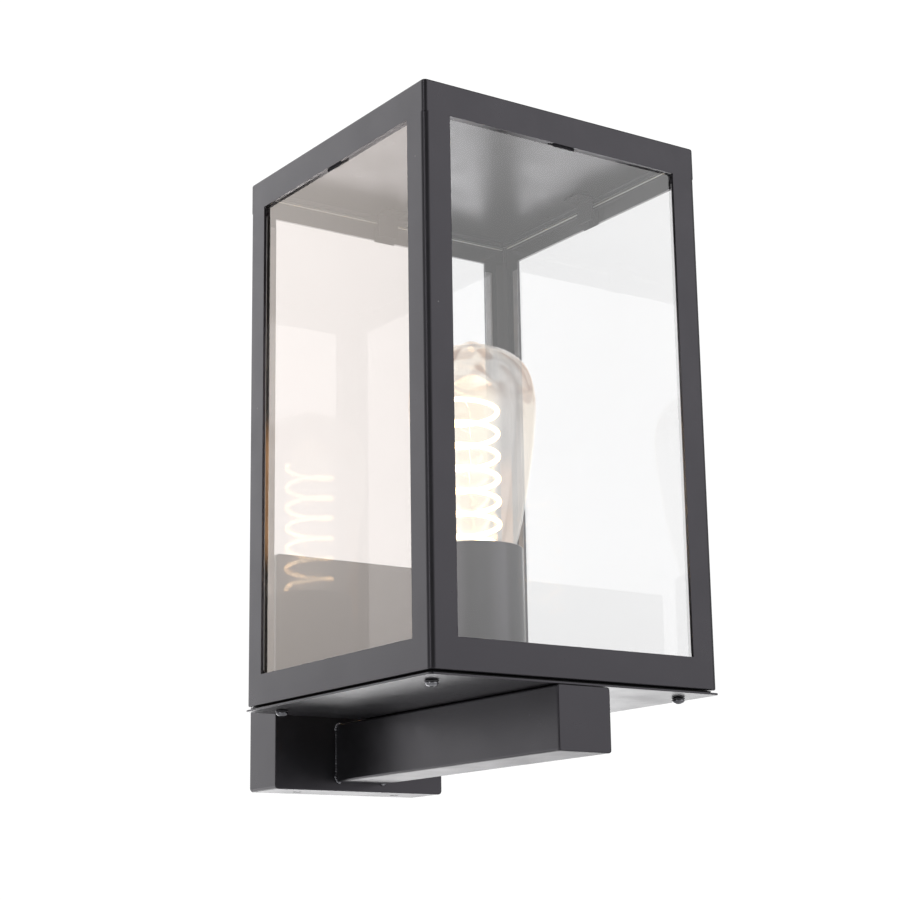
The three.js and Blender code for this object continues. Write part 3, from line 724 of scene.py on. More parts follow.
def add_piece(name, bm, place, body, node, *materials, smooth=38, bevel=0):
    """Makes a piece from a bmesh in millimetres, puts it in place and lets it ride on its body. It replaces
    one CAD node or none."""
    moved(bm, place)
    bmesh.ops.remove_doubles(bm, verts=bm.verts, dist=1e-7)
    bmesh.ops.recalc_face_normals(bm, faces=bm.faces)
    mesh = bpy.data.meshes.new(name)
    bm.to_mesh(mesh)
    bm.free()
    for material in materials:
        mesh.materials.append(material)
    mesh.polygons.foreach_set("use_smooth", [True] * len(mesh.polygons))
    mesh.set_sharp_from_angle(angle=math.radians(smooth))
    piece = into_scene(bpy.data.objects.new(name, mesh))
    if bevel:
        soften_edges(piece, bevel, 38)
    normals = piece.modifiers.new("flat_faces", "WEIGHTED_NORMAL")
    normals.keep_sharp = True
    normals.weight = 80
    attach(piece, body)
    if node:
        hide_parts(node)


def dull_below(bm):
    """Gives the faces that look down the piece's second material."""
    bmesh.ops.recalc_face_normals(bm, faces=bm.faces)
    for face in bm.faces:
        face.material_index = 1 if face.normal.z < -0.9 else 0
    return bm


# Hood ----------------------------------------------------------------------------------------

INNER = HOOD_HALF - SHEET
SPOT_WELDS = [(77, 34), (34, 77)]


def square(half, radius):
    return outline(half, half, radius)


def roof_cap():
    """A square lid with a skirt, and eight small spot welds on its underside."""
    inside = HOOD_TOP - SHEET
    rings = [level(square(INNER - i, 1.2 - i), inside - d) for i, d in reversed(quarter_round(1))]
    rings += [level(square(INNER, 1.2), TOP_SEAM), level(square(HOOD_HALF, ROOF_RADIUS), TOP_SEAM)]
    rings += [level(square(HOOD_HALF - i, ROOF_RADIUS - i), HOOD_TOP - d) for i, d in quarter_round(1, 4)]
    cap = loft(rings, caps=(True, True))
    welds = []
    for x, y in SPOT_WELDS:
        for turn in range(0, 360, 90):
            mark = [(1.1, inside), (1.0, inside - 0.12), (0.6, inside - 0.28), (0, inside - 0.33)]
            welds.append(moved(lathe(mark, 16), turn_z(turn) @ shift(x, y, 0)))
    add_piece("roof_cap_sheet", joined(cap, *welds), AT_HOOD, "hood", "roof_cap", COAT)


def bottom_frame():
    """A frame folded from sheet: four sides, and a flat lip with the screw holes."""
    bend = 0.8
    inner_radius = FOLD_RADIUS - SHEET
    rings = [level(square(LIP_HALF, CRISP), 0)]
    rings += [level(square(HOOD_HALF - i, FOLD_RADIUS - i), d) for i, d in reversed(quarter_round(bend))]
    rings += [level(square(HOOD_HALF, FOLD_RADIUS), LOW_SEAM)]
    rings += [level(square(INNER, inner_radius), LOW_SEAM)]
    rings += [level(square(INNER - i, inner_radius - i / 2), SHEET + d) for i, d in quarter_round(bend)]
    rings += [level(square(LIP_HALF, CRISP), SHEET)]
    holes = [drill(INSERT_HOLE, -1, 3, x * SCREW_X, y * SCREW_Y) for x, y in CORNERS.values()]
    add_piece("bottom_frame_sheet", carved(loft(rings, closed=True), *holes), AT_HOOD, "hood",
              "bottom_frame", COAT)


def corner_post(name, x, y):
    """An angle of folded sheet between the bottom frame and the roof cap's skirt."""
    outer, inner = -HOOD_HALF, -INNER
    end = outer + POST_LEG
    centre = (outer + FOLD_RADIUS, outer + FOLD_RADIUS)
    points = [(outer, end), *arc(centre, FOLD_RADIUS, 180, 270, 10), (end, outer), (end, inner)]
    points += [*arc(centre, FOLD_RADIUS - SHEET, 270, 180, 10), (inner, end)]
    place = AT_HOOD @ turn_z(QUARTER_TURNS[-x, -y])
    post = prism(points, LOW_SEAM, TOP_SEAM)
    add_piece(f"corner_post_{name}_sheet", post, place, "hood", f"corner_post_{name}", COAT)


def pane(name, degrees):
    """One pane: two polished faces and ground edges with a small arris. The level arrises take a lighter
    edge material and the rest a darker one, as painted light and shade.
    """
    low, high = box_of(f"glass_{name}")
    half = (high.x - low.x) / 2 if name in ("front", "back") else (high.y - low.y) / 2
    front, back = PANE_LOW.y - HOOD_Y, PANE_HIGH.y - HOOD_Y
    bottom, top = hood_heights(f"glass_{name}")
    bm = bmesh.new()
    bmesh.ops.create_cube(bm, size=1)
    moved(bm, shift(0, (front + back) / 2, (bottom + top) / 2)
          @ Matrix.Diagonal((2 * half, back - front, top - bottom, 1)))
    bmesh.ops.bevel(bm, geom=bm.edges[:], offset=PANE_CHAMFER, segments=1, affect="EDGES")
    bm.normal_update()
    for face in bm.faces:
        outward, upward = -face.normal.y, abs(face.normal.z)
        # Level arrises get the lighter edge, painted light.
        painted_lit_arris = 0.3 < upward < 0.9 and abs(face.normal.x) < 0.3
        face.material_index = 0 if outward > 0.9 else 1 if outward < -0.9 else 2 if painted_lit_arris else 3
    # The left pane takes the copies with the painted warm sheen and tint.
    faces = [PANE_PAINTED_WARM_SHEEN, PANE_INSIDE_PAINTED_WARM_TINT] if name == "left" else [PANE, PANE_INSIDE]
    add_piece(f"glass_{name}_pane", bm, AT_HOOD @ turn_z(degrees), "hood", f"glass_{name}", *faces,
              PAINTED_LIT_PANE_EDGE, PAINTED_SHADED_PANE_EDGE, smooth=10)


def glazing_tape(name, x, y):
    """Strips of tape between the post's two legs and the panes, along the legs' free edges."""
    strips = []
    for quarter in (0, 90):
        near, far = HOOD_HALF - POST_LEG, HOOD_HALF - POST_LEG + TAPE_WIDTH
        front, back = INNER - 0.28, INNER - 0.02
        points = [(near, front), (far, front), (far, back), (near, back)]
        if quarter:
            points = [(v, u) for u, v in points][::-1]
        strips.append(prism(points, LOW_SEAM + 2, TOP_SEAM - 5))
    place = AT_HOOD @ turn_z(QUARTER_TURNS[x, y])
    add_piece(f"glazing_tape_{name}", joined(*strips), place, "hood", None, TAPE)


def pane_sealant(name, x, y):
    """A fillet of clear sealant up the inside corner of two panes; its material has a painted amber glow.
    """
    corner = HOOD_Y - PANE_HIGH.y - 0.02
    points = [(corner, corner), *arc((corner - SEALANT_LEG, corner - SEALANT_LEG), SEALANT_LEG, 90, 0, 6)]
    bm = prism(points[::-1], LOW_SEAM + 1, TOP_SEAM - 1)
    place = AT_HOOD @ turn_z(QUARTER_TURNS[x, y])
    add_piece(f"pane_sealant_{name}", bm, place, "hood", None, SEALANT)


def glass_clip(name, degrees):
    """A bent tab. Its leaf holds the pane, its foot is spot welded under the roof, and a thin hook
    goes over the pane's top."""
    y0, y1 = CLIP_LOW.y - HOOD_Y, CLIP_HIGH.y - HOOD_Y
    z0, z1 = hood_heights("glass_clip_front")
    half = CLIP_HIGH.x
    sheet = 1
    path = [(y0 + sheet / 2, z0), (y0 + sheet / 2, z1 - sheet / 2), (y1, z1 - sheet / 2)]
    strip = prism(bent_strip(path, sheet, 1.2), -half, half)
    under = z1 - sheet
    weld = lathe([(1.2, under), (1.1, under - 0.15), (0.7, under - 0.35), (0, under - 0.4)], 16)
    moved(weld, shift(0, y1 - 4, 0))
    hook_y = HOOD_HALF - SHEET - 0.15
    over = hood_heights(f"glass_{name}")[1] + 0.3
    hook_path = [(-hook_y, TOP_SEAM - CLIP_HOOK), (-hook_y, over), (y0 + sheet / 2, over)]
    hook = moved(prism(bent_strip(hook_path, 0.25, 0.3), -CLIP_HOOK_HALF, CLIP_HOOK_HALF), STAND)
    add_piece(f"glass_clip_{name}_tab", joined(moved(strip, STAND), weld, hook), AT_HOOD @ turn_z(degrees),
              "hood", f"glass_clip_{name}", CLIP_COAT)


def hood_insert(name, x, y):
    """Threaded rivet nut: a flange on the sheet, a swelling above it and a plain barrel."""
    low, high = 0.1, 9
    flange = SHEET + 0.3
    inner = thread(2.3, 0.12, high - 0.3, low + 0.3, M4_PITCH, 6)
    profile = [(2.6, low), (2.9, low + 0.2), (2.9, flange), (4.0, flange), (4.1, flange + 0.2),
               (4.1, flange + 0.7), (3.9, flange + 0.9), (3.0, flange + 0.9), (2.9, flange + 2),
               (2.9, high - 0.2), (2.7, high), (2.45, high), *inner, (2.45, low)]
    nut = lathe(profile, 40, closed=True, pitch=M4_PITCH, wave=triangle_wave)
    add_piece(f"hood_insert_{name}_nut", nut, at_screw(x, y), "hood", f"hood_insert_{name}", ZINC)


roof_cap()
bottom_frame()
for corner, (cx, cy) in CORNERS.items():
    corner_post(corner, cx, cy)
    glazing_tape(corner, cx, cy)
    pane_sealant(corner, cx, cy)
    hood_insert(corner, cx, cy)
for side, side_turn in SIDES.items():
    pane(side, side_turn)
    glass_clip(side, side_turn)

# Base plate and its fasteners ----------------------------------------------------------------


def base_plate():
    """A flat plate with holes for the corner screws, the rivets and the nipple."""
    low, high = hood_heights("base_plate")
    plate = slab(PLATE_HALF, PLATE_HALF, low, high, radius=2, edge=0.25)
    holes = [drill(PLATE_HOLE, low - 2, high + 2, x * SCREW_X, y * SCREW_Y) for x, y in CORNERS.values()]
    holes += [drill(RIVET_HOLE, low - 2, high + 2, 0, side * RIVET_OFFSET) for side in (-1, 1)]
    holes += [drill(NIPPLE_HOLE, low - 2, high + 2)]
    add_piece("base_plate_sheet", carved(plate, *holes), AT_HOOD, "base", "base_plate", COAT)


def plate_rivet(name, y):
    """A rivet with a dome at both ends."""
    bottom, top = hood_heights(f"plate_rivet_{name}")
    head = 1.6

    def dome(tip, away):
        return [(RIVET_HEAD * math.cos(a), tip - away * head * (1 - math.sin(a)))
                for a in (math.pi / 2 * i / 6 for i in range(7))]

    shank = [(RIVET_RADIUS, bottom + head), (RIVET_RADIUS, top - head)]
    profile = [*reversed(dome(bottom, -1)), *shank, *dome(top, 1)]
    place = AT_HOOD @ shift(0, y, 0)
    add_piece(f"plate_rivet_{name}_pin", lathe(profile, 40), place, "base", f"plate_rivet_{name}", ZINC)


def corner_screw(name, x, y):
    """Domed M4 screw with a hexagon recess, entering from below."""
    low, tip = hood_heights("corner_screw_front_right")
    head_top = low + 2
    rim = (SCREW_HIGH.x - SCREW_LOW.x) / 2
    dome = [(rim * math.sin(a), head_top - 0.3 - (head_top - 0.3 - low) * math.cos(a))
            for a in (math.pi / 2 * i / 10 for i in range(11))]
    shank = m4_thread(head_top + 0.4, tip - 0.5)
    profile = [*dome, (rim, head_top - 0.12), (rim - 0.15, head_top), (1.9, head_top), *shank,
               (1.3, tip), (0, tip)]
    body = m4_body(profile, 48)
    recess = lathe([(0, low - 1), (1.3, low - 1), (1.3, low + 1.3), (0, low + 1.5)], 6)
    place = at_screw(x, y) @ turn_z(17 * (x + 2 * y))                # each screw stops at its own turn
    add_piece(f"corner_screw_{name}_bolt", carved(body, recess), place, f"screw_{name}",
              f"corner_screw_{name}", BLACKENED)


def corner_washer(name, x, y):
    """Flat washer with softened rims."""
    low, high = hood_heights("corner_washer_front_right")
    rim = (WASHER_HIGH.x - WASHER_LOW.x) / 2
    profile = [(2.3, low), (rim - 0.15, low), (rim, low + 0.15),
               (rim, high - 0.15), (rim - 0.15, high), (2.3, high)]
    ring = lathe(profile, 48, closed=True)
    add_piece(f"corner_washer_{name}_ring", ring, at_screw(x, y), f"washer_{name}", f"corner_washer_{name}",
              SCREW_COAT)


base_plate()
plate_rivet("front", -RIVET_OFFSET)
plate_rivet("back", RIVET_OFFSET)
for corner, (cx, cy) in CORNERS.items():
    corner_screw(corner, cx, cy)
    corner_washer(corner, cx, cy)

# Arm and wall box ----------------------------------------------------------------------------

ARM_RADIUS = 1.3
BOX_SIDE_RADIUS = 2                          # long corners between the box's sides
BOX_SCREW_X = 30
BOX_SCREW_Y = -12
CABLE_HOLE = 8
EARTH_X, EARTH_Z = 30, -30
WAY = 11                                     # from way to way of the terminal block


def arm_tube():
    """Square tube, open at both ends, drilled on top for the nipple and the rivets."""
    back, front = -BOX_LOW.y, -(ARM_FRONT + SHEET)
    outer = outline(ARM_HALF, ARM_HALF, ARM_RADIUS)
    inner = outline(ARM_HALF - SHEET, ARM_HALF - SHEET, 0.4)
    rings = [level(outer, back), level(outer, front), level(inner, front), level(inner, back)]
    tube = moved(along_y(loft(rings, closed=True)), shift(0, 0, ARM_MIDDLE))
    top = ARM_MIDDLE + ARM_HALF
    holes = [drill(NIPPLE_HOLE, top - 4, top + 2, 0, HOOD_Y)]
    for side in (-1, 1):
        holes.append(drill(RIVET_HOLE, top - 4, top + 2, 0, HOOD_Y + side * RIVET_OFFSET))
    tube = dull_below(carved(tube, *holes))
    add_piece("arm_tube_sheet", tube, AT_WALL, "base", "arm_tube", COAT, DULL_COAT)


def arm_end_cap():
    """The plate that closes the arm's front end."""
    back, front = -(ARM_FRONT + SHEET), -ARM_FRONT
    rings = [level(outline(ARM_HALF, ARM_HALF, ARM_RADIUS), back)]
    rings += [level(outline(ARM_HALF - i, ARM_HALF - i, ARM_RADIUS - i / 2), front - d)
              for i, d in quarter_round(0.7)]
    cap = moved(along_y(loft(rings, caps=(True, True))), shift(0, 0, ARM_MIDDLE))
    add_piece("arm_end_cap_plate", dull_below(cap), AT_WALL, "base", "arm_end_cap", COAT, DULL_COAT)


def wall_box():
    """A tray that is open to the wall, with a cable hole and two screw holes below."""
    half_x, half_z, depth = BOX_HIGH.x, BOX_HIGH.z, -BOX_LOW.y
    rings = [level(outline(half_x - SHEET - i, half_z - SHEET - i, 0.9 - i), depth - SHEET - d)
             for i, d in reversed(quarter_round(0.6))]
    rings += [level(outline(half_x - SHEET, half_z - SHEET, 0.9), 0)]
    rings += [level(outline(half_x, half_z, BOX_SIDE_RADIUS), 0)]
    rings += [level(outline(half_x - i, half_z - i, BOX_SIDE_RADIUS - i), depth - d)
              for i, d in quarter_round(CRISP)]
    tray = along_y(loft(rings, caps=(True, True)))
    holes = [moved(along_y(drill(CABLE_HOLE, depth - 5, depth + 2)), shift(0, 0, ARM_MIDDLE))]
    for side in (-1, 1):
        holes.append(drill(SCREW_HOLE, -half_z - 2, -half_z + 5, side * BOX_SCREW_X, BOX_SCREW_Y))
    tray = dull_below(carved(tray, *holes))
    add_piece("wall_box_sheet", tray, AT_WALL, "base", "wall_box", COAT, DULL_COAT)


def weld_bead(points, radius):
    """A short uneven run of weld, as overlapping flattened drops."""
    drops = []
    for i, (x, y, z) in enumerate(points):
        size = radius * (1 + 0.25 * math.sin(2.3 * i + 0.7))
        drop = bmesh.new()
        bmesh.ops.create_icosphere(drop, subdivisions=2, radius=size)
        drops.append(moved(drop, shift(x, y, z) @ Matrix.Diagonal((1, 0.8, 1, 1))))
    return drops


def arm_welds():
    """Weld between arm and wall box: a bead at each corner and a thin run down each side."""
    face = BOX_LOW.y
    drops = []
    for sx in (-1, 1):
        for sz in (-1, 1):
            x, z = sx * (ARM_HALF + 0.1), ARM_MIDDLE + sz * (ARM_HALF - 0.4)
            steps = [(0.2, 0.3, -2.2), (0, 0.5, -1.1), (-0.3, 0.6, 0), (-1.6, 0.4, 0.3)]
            bead = [(x + sx * across, face - out, z + sz * up) for across, out, up in steps]
            drops += weld_bead(bead, 1.0)
        run = [(sx * ARM_HALF, face, ARM_MIDDLE + 0.9 * ARM_HALF * (t / 10 - 1)) for t in range(21)]
        drops += weld_bead(run, 0.5)
    add_piece("arm_welds", joined(*drops), AT_WALL, "base", None, BLACKENED, smooth=60)


def mounting_bracket():
    """Plated steel bracket bent to a channel, with slots for wall screws and a cable hole."""
    low, high = box_of("mounting_bracket")
    half, t, bend = high.x, 2, 2.5
    bottom, top = low.z + t / 2, high.z - t / 2
    path = [(low.y, bottom), (-t / 2, bottom), (-t / 2, top), (-12, top)]
    strip = prism(bent_strip(path, t, bend), -half, half)
    moved(strip, STAND)
    cuts = [moved(along_y(drill(12, -2, t + 2)), shift(0, 0, 38))]
    cuts += [moved(along_y(drill(SCREW_HOLE, -2, t + 2)), shift(EARTH_X, 0, EARTH_Z))]
    for side in (-1, 1):
        slot = along_y(prism(outline(6, 2.5, 2.45, 10), -2, t + 2))
        cuts.append(moved(slot, shift(side * 30, 0, 0)))
        cuts.append(drill(SCREW_HOLE, low.z - 2, low.z + 5, side * BOX_SCREW_X, BOX_SCREW_Y))
    add_piece("mounting_bracket_channel", carved(strip, *cuts), AT_WALL, "base", "mounting_bracket", ZINC,
              bevel=0.2)


def box_set_screw(name, x):
    """Hollow hexagon set screw in the underside of the wall box."""
    low, high = box_of(f"box_set_screw_{name}")
    bottom, top = low.z, high.z
    shank = m4_thread(bottom + 0.3, top - 0.4)
    body = m4_body([(0, bottom), (1.6, bottom), *shank, (1.2, top), (0, top)], 40)
    recess = lathe([(0, bottom - 1), (1.15, bottom - 1), (1.15, bottom + 2.2), (0, bottom + 2.6)], 6)
    place = AT_WALL @ shift(x, BOX_SCREW_Y, 0)
    add_piece(f"box_set_screw_{name}_bolt", carved(body, recess), place, "base", f"box_set_screw_{name}",
              ZINC)


def terminal_block():
    """Three-way block with grooves between its ways, wire entries and clamping screws."""
    low, high = box_of("terminal_block")
    depth_low, depth_high = -high.y, -low.y
    middle = (low.z + high.z) / 2
    body = along_y(slab(high.x, (high.z - low.z) / 2, depth_low, depth_high, radius=1.2, edge=0.5))
    moved(body, shift(0, 0, middle))
    cuts, screws = [], []
    for x in (-WAY, 0, WAY):
        cuts.append(drill(2, low.z - 1, low.z + 7, x, -12, 24))
        cuts.append(drill(2, high.z - 7, high.z + 1, x, -12, 24))
        cuts.append(moved(along_y(drill(2.9, depth_high - 3, depth_high + 1, sides=24)),
                          shift(x, 0, middle)))
        head = lathe([(0, depth_high - 3.2), (2.2, depth_high - 3.2), (2.2, depth_high - 2.2),
                      (1.9, depth_high - 2), (0, depth_high - 2)], 24)
        slotted = carved(head, bar(2.5, 0.3, depth_high - 2.5, depth_high))
        screws.append(moved(along_y(slotted), shift(x, 0, middle)))
    for x in (-WAY / 2, WAY / 2):
        groove = along_y(bar(0.6, 20, depth_high - 1.2, depth_high + 1))
        cuts.append(moved(groove, shift(x, 0, middle)))
    add_piece("terminal_block_body", carved(body, *cuts), AT_WALL, "base", "terminal_block", WHITE_PLASTIC)
    add_piece("terminal_screws", joined(*screws), AT_WALL, "base", None, BRASS)


def earth_screw():
    """Slotted pan-head screw through the bracket."""
    low, high = box_of("earth_screw")
    tip, crown = -high.y, -low.y
    shank = m4_thread(tip + 0.3, crown - 2.6)
    profile = [(0, tip), (1.6, tip), *shank, (1.9, crown - 2.6), (3.8, crown - 2.6), (3.8, crown - 1.2),
               (3.4, crown - 0.5), (2.4, crown - 0.1), (0, crown)]
    screw = carved(m4_body(profile, 40), bar(5, 0.5, crown - 1.4, crown + 1))
    place = AT_WALL @ shift(EARTH_X, 0, EARTH_Z) @ ALONG_Y
    add_piece("earth_screw_bolt", screw, place, "base", "earth_screw", ZINC)


def cable_grommet():
    """Rubber bush with a groove that grips the wall box's sheet."""
    neck = CABLE_HOLE - 0.3
    profile = [(4.4, -1.6), (5.0, -2.3), (9.2, -2.3), (10, -1.5), (10, -0.3), (neck, -0.3),
               (neck, SHEET + 0.3), (10, SHEET + 0.3), (10, SHEET + 1.5), (9.2, SHEET + 2.3),
               (5.0, SHEET + 2.3), (4.4, SHEET + 1.6)]
    place = AT_WALL @ shift(0, BOX_LOW.y + SHEET, ARM_MIDDLE) @ ALONG_Y
    add_piece("cable_grommet_bush", lathe(profile, 64, closed=True), place, "base", "cable_grommet", RUBBER)


arm_tube()
arm_end_cap()
wall_box()
arm_welds()
mounting_bracket()
box_set_screw("left", -BOX_SCREW_X)
box_set_screw("right", BOX_SCREW_X)
terminal_block()
earth_screw()
cable_grommet()

# Lampholder ----------------------------------------------------------------------------------

HOLDER_RADIUS = 19.5
HOLDER_TOP = 56
HOLDER_FLOOR = 26
BULB_MEAN = 12.7                             # middle radius of the bulb's thread
BULB_DEPTH = 0.4


def lampholder_cover():
    """Turned steel cup with a softened rim."""
    low, top = -1, hood_heights("lampholder_cover")[1]
    wall, rim = 1.2, 0.45
    inner = COVER_RADIUS - wall
    profile = [(NIPPLE_HOLE, low), (COVER_RADIUS - CRISP, low)]
    profile += [(COVER_RADIUS - i, low + d) for i, d in reversed(quarter_round(CRISP))]
    profile += [(COVER_RADIUS - i, top - d) for i, d in quarter_round(rim)]
    profile += [(inner + i, top - d) for i, d in reversed(quarter_round(rim))]
    profile += [(inner, low + wall + 1), (inner - 1, low + wall), (NIPPLE_HOLE, low + wall)]
    # The cover takes the lighter copy of the black coat, painted light.
    add_piece("lampholder_cover_cup", lathe(profile, 128, closed=True), AT_HOOD, "base", "lampholder_cover",
              PAINTED_LIGHTER_COVER_COAT, smooth=50)


def lampholder_body():
    """Glazed porcelain body with a stepped collar round the socket."""
    low = 0.5
    profile = [(NIPPLE_HOLE, low), (HOLDER_RADIUS - 1, low), (HOLDER_RADIUS, low + 1), (HOLDER_RADIUS, 22),
               (HOLDER_RADIUS - 1.2, 23), (HOLDER_RADIUS - 1.2, 27), (HOLDER_RADIUS, 28),
               (HOLDER_RADIUS, HOLDER_TOP - 1.5), (HOLDER_RADIUS - 0.5, HOLDER_TOP - 0.4),
               (HOLDER_RADIUS - 1.5, HOLDER_TOP), (15.6, HOLDER_TOP), (14.9, HOLDER_TOP - 0.3),
               (14.6, HOLDER_TOP - 1), (14.6, HOLDER_FLOOR), (2.2, HOLDER_FLOOR), (2.2, HOLDER_FLOOR - 5),
               (10, HOLDER_FLOOR - 5), (10, 9), (NIPPLE_HOLE, 9)]
    add_piece("lampholder_body_porcelain", lathe(profile, 96, closed=True), AT_HOOD, "base",
              "lampholder_body", PORCELAIN)


def screw_shell():
    """Rolled brass shell whose thread follows the bulb's with a little play."""
    play, wall = 0.35, 0.4
    low, high = 27.2, 55
    inside = thread(BULB_MEAN + play, BULB_DEPTH, high, low, BULB_PITCH, 14, 0.25)
    outside = thread(BULB_MEAN + play + wall, BULB_DEPTH, low, high, BULB_PITCH, 14, 0.25)
    profile = [*outside, *inside, (9, low), (9, low - 0.8), (BULB_MEAN + play + wall, low - 0.8)]
    add_piece("screw_shell_brass", lathe(profile, 96, closed=True, pitch=BULB_PITCH), AT_HOOD, "base",
              "screw_shell", BRASS, smooth=50)


def threaded_nipple():
    """Thin threaded tube with pitch 1 that holds the lampholder and lets the wires through."""
    low, high = hood_heights("threaded_nipple")
    outer = thread(4.72, 0.26, low + 0.4, high - 0.4, 1, 7)
    profile = [(3.6, low), (4.5, low), *outer, (4.5, high), (3.6, high)]
    bm = lathe(profile, 40, closed=True, pitch=1, wave=triangle_wave)
    add_piece("threaded_nipple_tube", bm, AT_HOOD, "base", "threaded_nipple", ZINC)


def nipple_nut():
    """Hexagon nut, chamfered on both faces."""
    low, high = hood_heights("nipple_nut")
    corner, face, chamfer = 8.1, 7.1, 0.6
    hexagon = lathe([(0, low), (corner, low), (corner, high), (0, high)], 6)
    cone = lathe([(0, low), (face, low), (corner + 0.1, low + chamfer), (corner + 0.1, high - chamfer),
                  (face, high), (0, high)], 64)
    nut = carved(carved(hexagon, cone, operation="INTERSECT"), drill(NIPPLE_HOLE, low - 1, high + 1))
    add_piece("nipple_nut_hexagon", nut, AT_HOOD, "base", "nipple_nut", ZINC)


WIRE_RADIUS = 1.1
WIRE_SPREAD = 2
BLOCK_LOW = box_of("terminal_block")[0].z


def holder_wire(name, side, material):
    """A wire from the terminal block, through grommet and arm, up the nipple into the lampholder."""
    x = side * WIRE_SPREAD
    points = [
        (side * WAY, -12, BLOCK_LOW - 0.3),
        (side * 10.5, -12.5, BLOCK_LOW - 10),
        (side * 6, -14, -24),
        (x, -17, ARM_MIDDLE + 3),
        (x, -23, ARM_MIDDLE),
        (x, -32, ARM_MIDDLE),
        (x, -70, ARM_MIDDLE - 2),
        (x, HOOD_Y + 14, ARM_MIDDLE - 2),
        (x, HOOD_Y + 3, ARM_MIDDLE + 1),
        (x, HOOD_Y, HOOD_BOTTOM - 10),
        (x, HOOD_Y, HOOD_BOTTOM),
        (x, HOOD_Y, HOOD_BOTTOM + 9),
        (side * 4.5, HOOD_Y, HOOD_BOTTOM + 15),
    ]
    add_piece(f"{name}_insulated", sweep(smooth_line(points), WIRE_RADIUS), AT_WALL, "base", name, material,
              smooth=60)


def earth_wire():
    """The wire from the terminal block's middle way to the earth lug."""
    points = [
        (0, -12, BLOCK_LOW - 0.3),
        (0.5, -10.5, BLOCK_LOW - 6),
        (8, -6.5, -8),
        (20, -5.5, -11),
        (EARTH_X, -4.8, EARTH_Z + 9.6),
    ]
    add_piece("earth_wire_insulated", sweep(smooth_line(points), WIRE_RADIUS), AT_WALL, "base",
              "earth_wire", GREEN, smooth=60)


lampholder_cover()
lampholder_body()
screw_shell()
threaded_nipple()
nipple_nut()
holder_wire("live_wire", -1, BROWN)
holder_wire("neutral_wire", 1, BLUE)
earth_wire()

# Bulb ----------------------------------------------------------------------------------------

# Outer profile of the glass globe: neck, long taper, widest near the top.
GLOBE = [
    (12.2, 50), (12.4, 57.6), (14.6, 62), (17.8, 69), (21.1, 77), (25.2, 94), (28.6, 113),
    (31.1, 132), (32, 147), (31.2, 157), (27.8, 166.5), (21, 173), (12, 176.6), (5.6, 177.6),
]
GLOBE_WALL = 0.7
CAP_LOW, CAP_HIGH = 34.3, 57
HELIX_RADIUS = 12.7
HELIX_PITCH = 11.6
HELIX_TURNS = 6.25
HELIX_LOW = 76.2
HELIX_START = 281                            # compass angle of its lower end, in degrees
FILAMENT_RADIUS = 1.3
LEAD_WIRE, THIN_WIRE = 0.35, 0.22            # radii of the wires to its ends and of those that hold it


def bulb_globe():
    """Blown glass with a drawn tip, open at the neck inside the cap."""
    tip_top = hood_heights("bulb_globe")[1]
    outside = [(p.x, p.y) for p in smooth_line([(r, z, 0) for r, z in GLOBE], 6)]
    outside += [(5.3, 178.4), (4.7, 179.4), (3.8, 180.2), (2.6, 180.7), (1.3, tip_top - 0.1), (0, tip_top)]
    inside = []
    for (r0, z0), (r1, z1) in zip(outside, outside[1:-5]):
        along = Vector((r1 - r0, z1 - z0)).normalized()
        inside.append((r0 - along.y * GLOBE_WALL, z0 + along.x * GLOBE_WALL))
    profile = outside[::-1] + inside + [(4.2, 178.4), (3.2, 179.3), (1.6, 179.9), (0, 180.1)]
    add_piece("bulb_globe_glass", lathe(profile, 128), AT_HOOD, "bulb", "bulb_globe", BULB_GLASS, smooth=60)


def bulb_cap():
    """Nickel-plated screw cap with a rolled thread."""
    low, high, wall = CAP_LOW, CAP_HIGH, 0.35
    rolled = thread(BULB_MEAN, BULB_DEPTH, low + 2.4, high - 4, BULB_PITCH, 14, 0.4)
    hollow = thread(BULB_MEAN - wall, BULB_DEPTH, high - 4, low + 2.4, BULB_PITCH, 14, 0.4)
    profile = [(5.8, low), (10.4, low), (11.4, low + 0.5), (12.2, low + 1.5), *rolled,
               (13.0, high - 3.4), (13.0, high - 0.3), (12.9, high), (12.65, high), (12.6, high - 3.6),
               *hollow, (11.8, low + 1.7), (11.0, low + 0.8), (5.8, low + 0.6)]
    add_piece("bulb_cap_nickel", lathe(profile, 96, closed=True, pitch=BULB_PITCH), AT_HOOD, "bulb",
              "bulb_cap", NICKEL, smooth=50)


def bulb_foot():
    """Black glass insulator and the soldered contact below it."""
    insulator = [(0, 31.0), (4.8, 31.0), (5.4, 31.3), (10.2, 33.8), (5.6, 34.0), (5.4, 36), (0, 36)]
    add_piece("bulb_insulator_glass", lathe(insulator, 64), AT_HOOD, "bulb_seat", "bulb_insulator",
              BLACK_GLASS)
    contact = [(0, 29.1), (1.5, 29.15), (2.9, 29.35), (4.0, 29.8), (4.6, 30.3), (4.6, 30.6), (0, 30.7)]
    add_piece("bulb_contact_solder", lathe(contact, 48), AT_HOOD, "bulb_seat", "bulb_contact", NICKEL)


def bulb_stem():
    """Glass stem: flared foot, pinched seal, and a slim rod with a bead that ends in the helix."""
    profile = [(0, 51), (10.4, 51), (10.6, 51.5), (9.4, 54), (7.4, 57.5), (6.0, 61), (4.8, 65.5),
               (4.2, 71), (4.0, 76), (3.4, 79.6), (2.3, 81.8), (1.6, 84), (1.5, 92), (1.7, 95.6),
               (2.3, 97.2), (2.4, 98.2), (1.9, 99.6), (1.0, 100.3), (0, 100.4)]
    line = [(p.x, p.y) for p in smooth_line([(r, z, 0) for r, z in profile], 3)]
    points = [(0, profile[0][1]), *[(max(r, 0), z) for r, z in line[1:-1]], (0, profile[-1][1])]
    add_piece("bulb_stem_glass", lathe(points, 48), AT_HOOD, "bulb", "bulb_stem", BULB_GLASS, smooth=60)


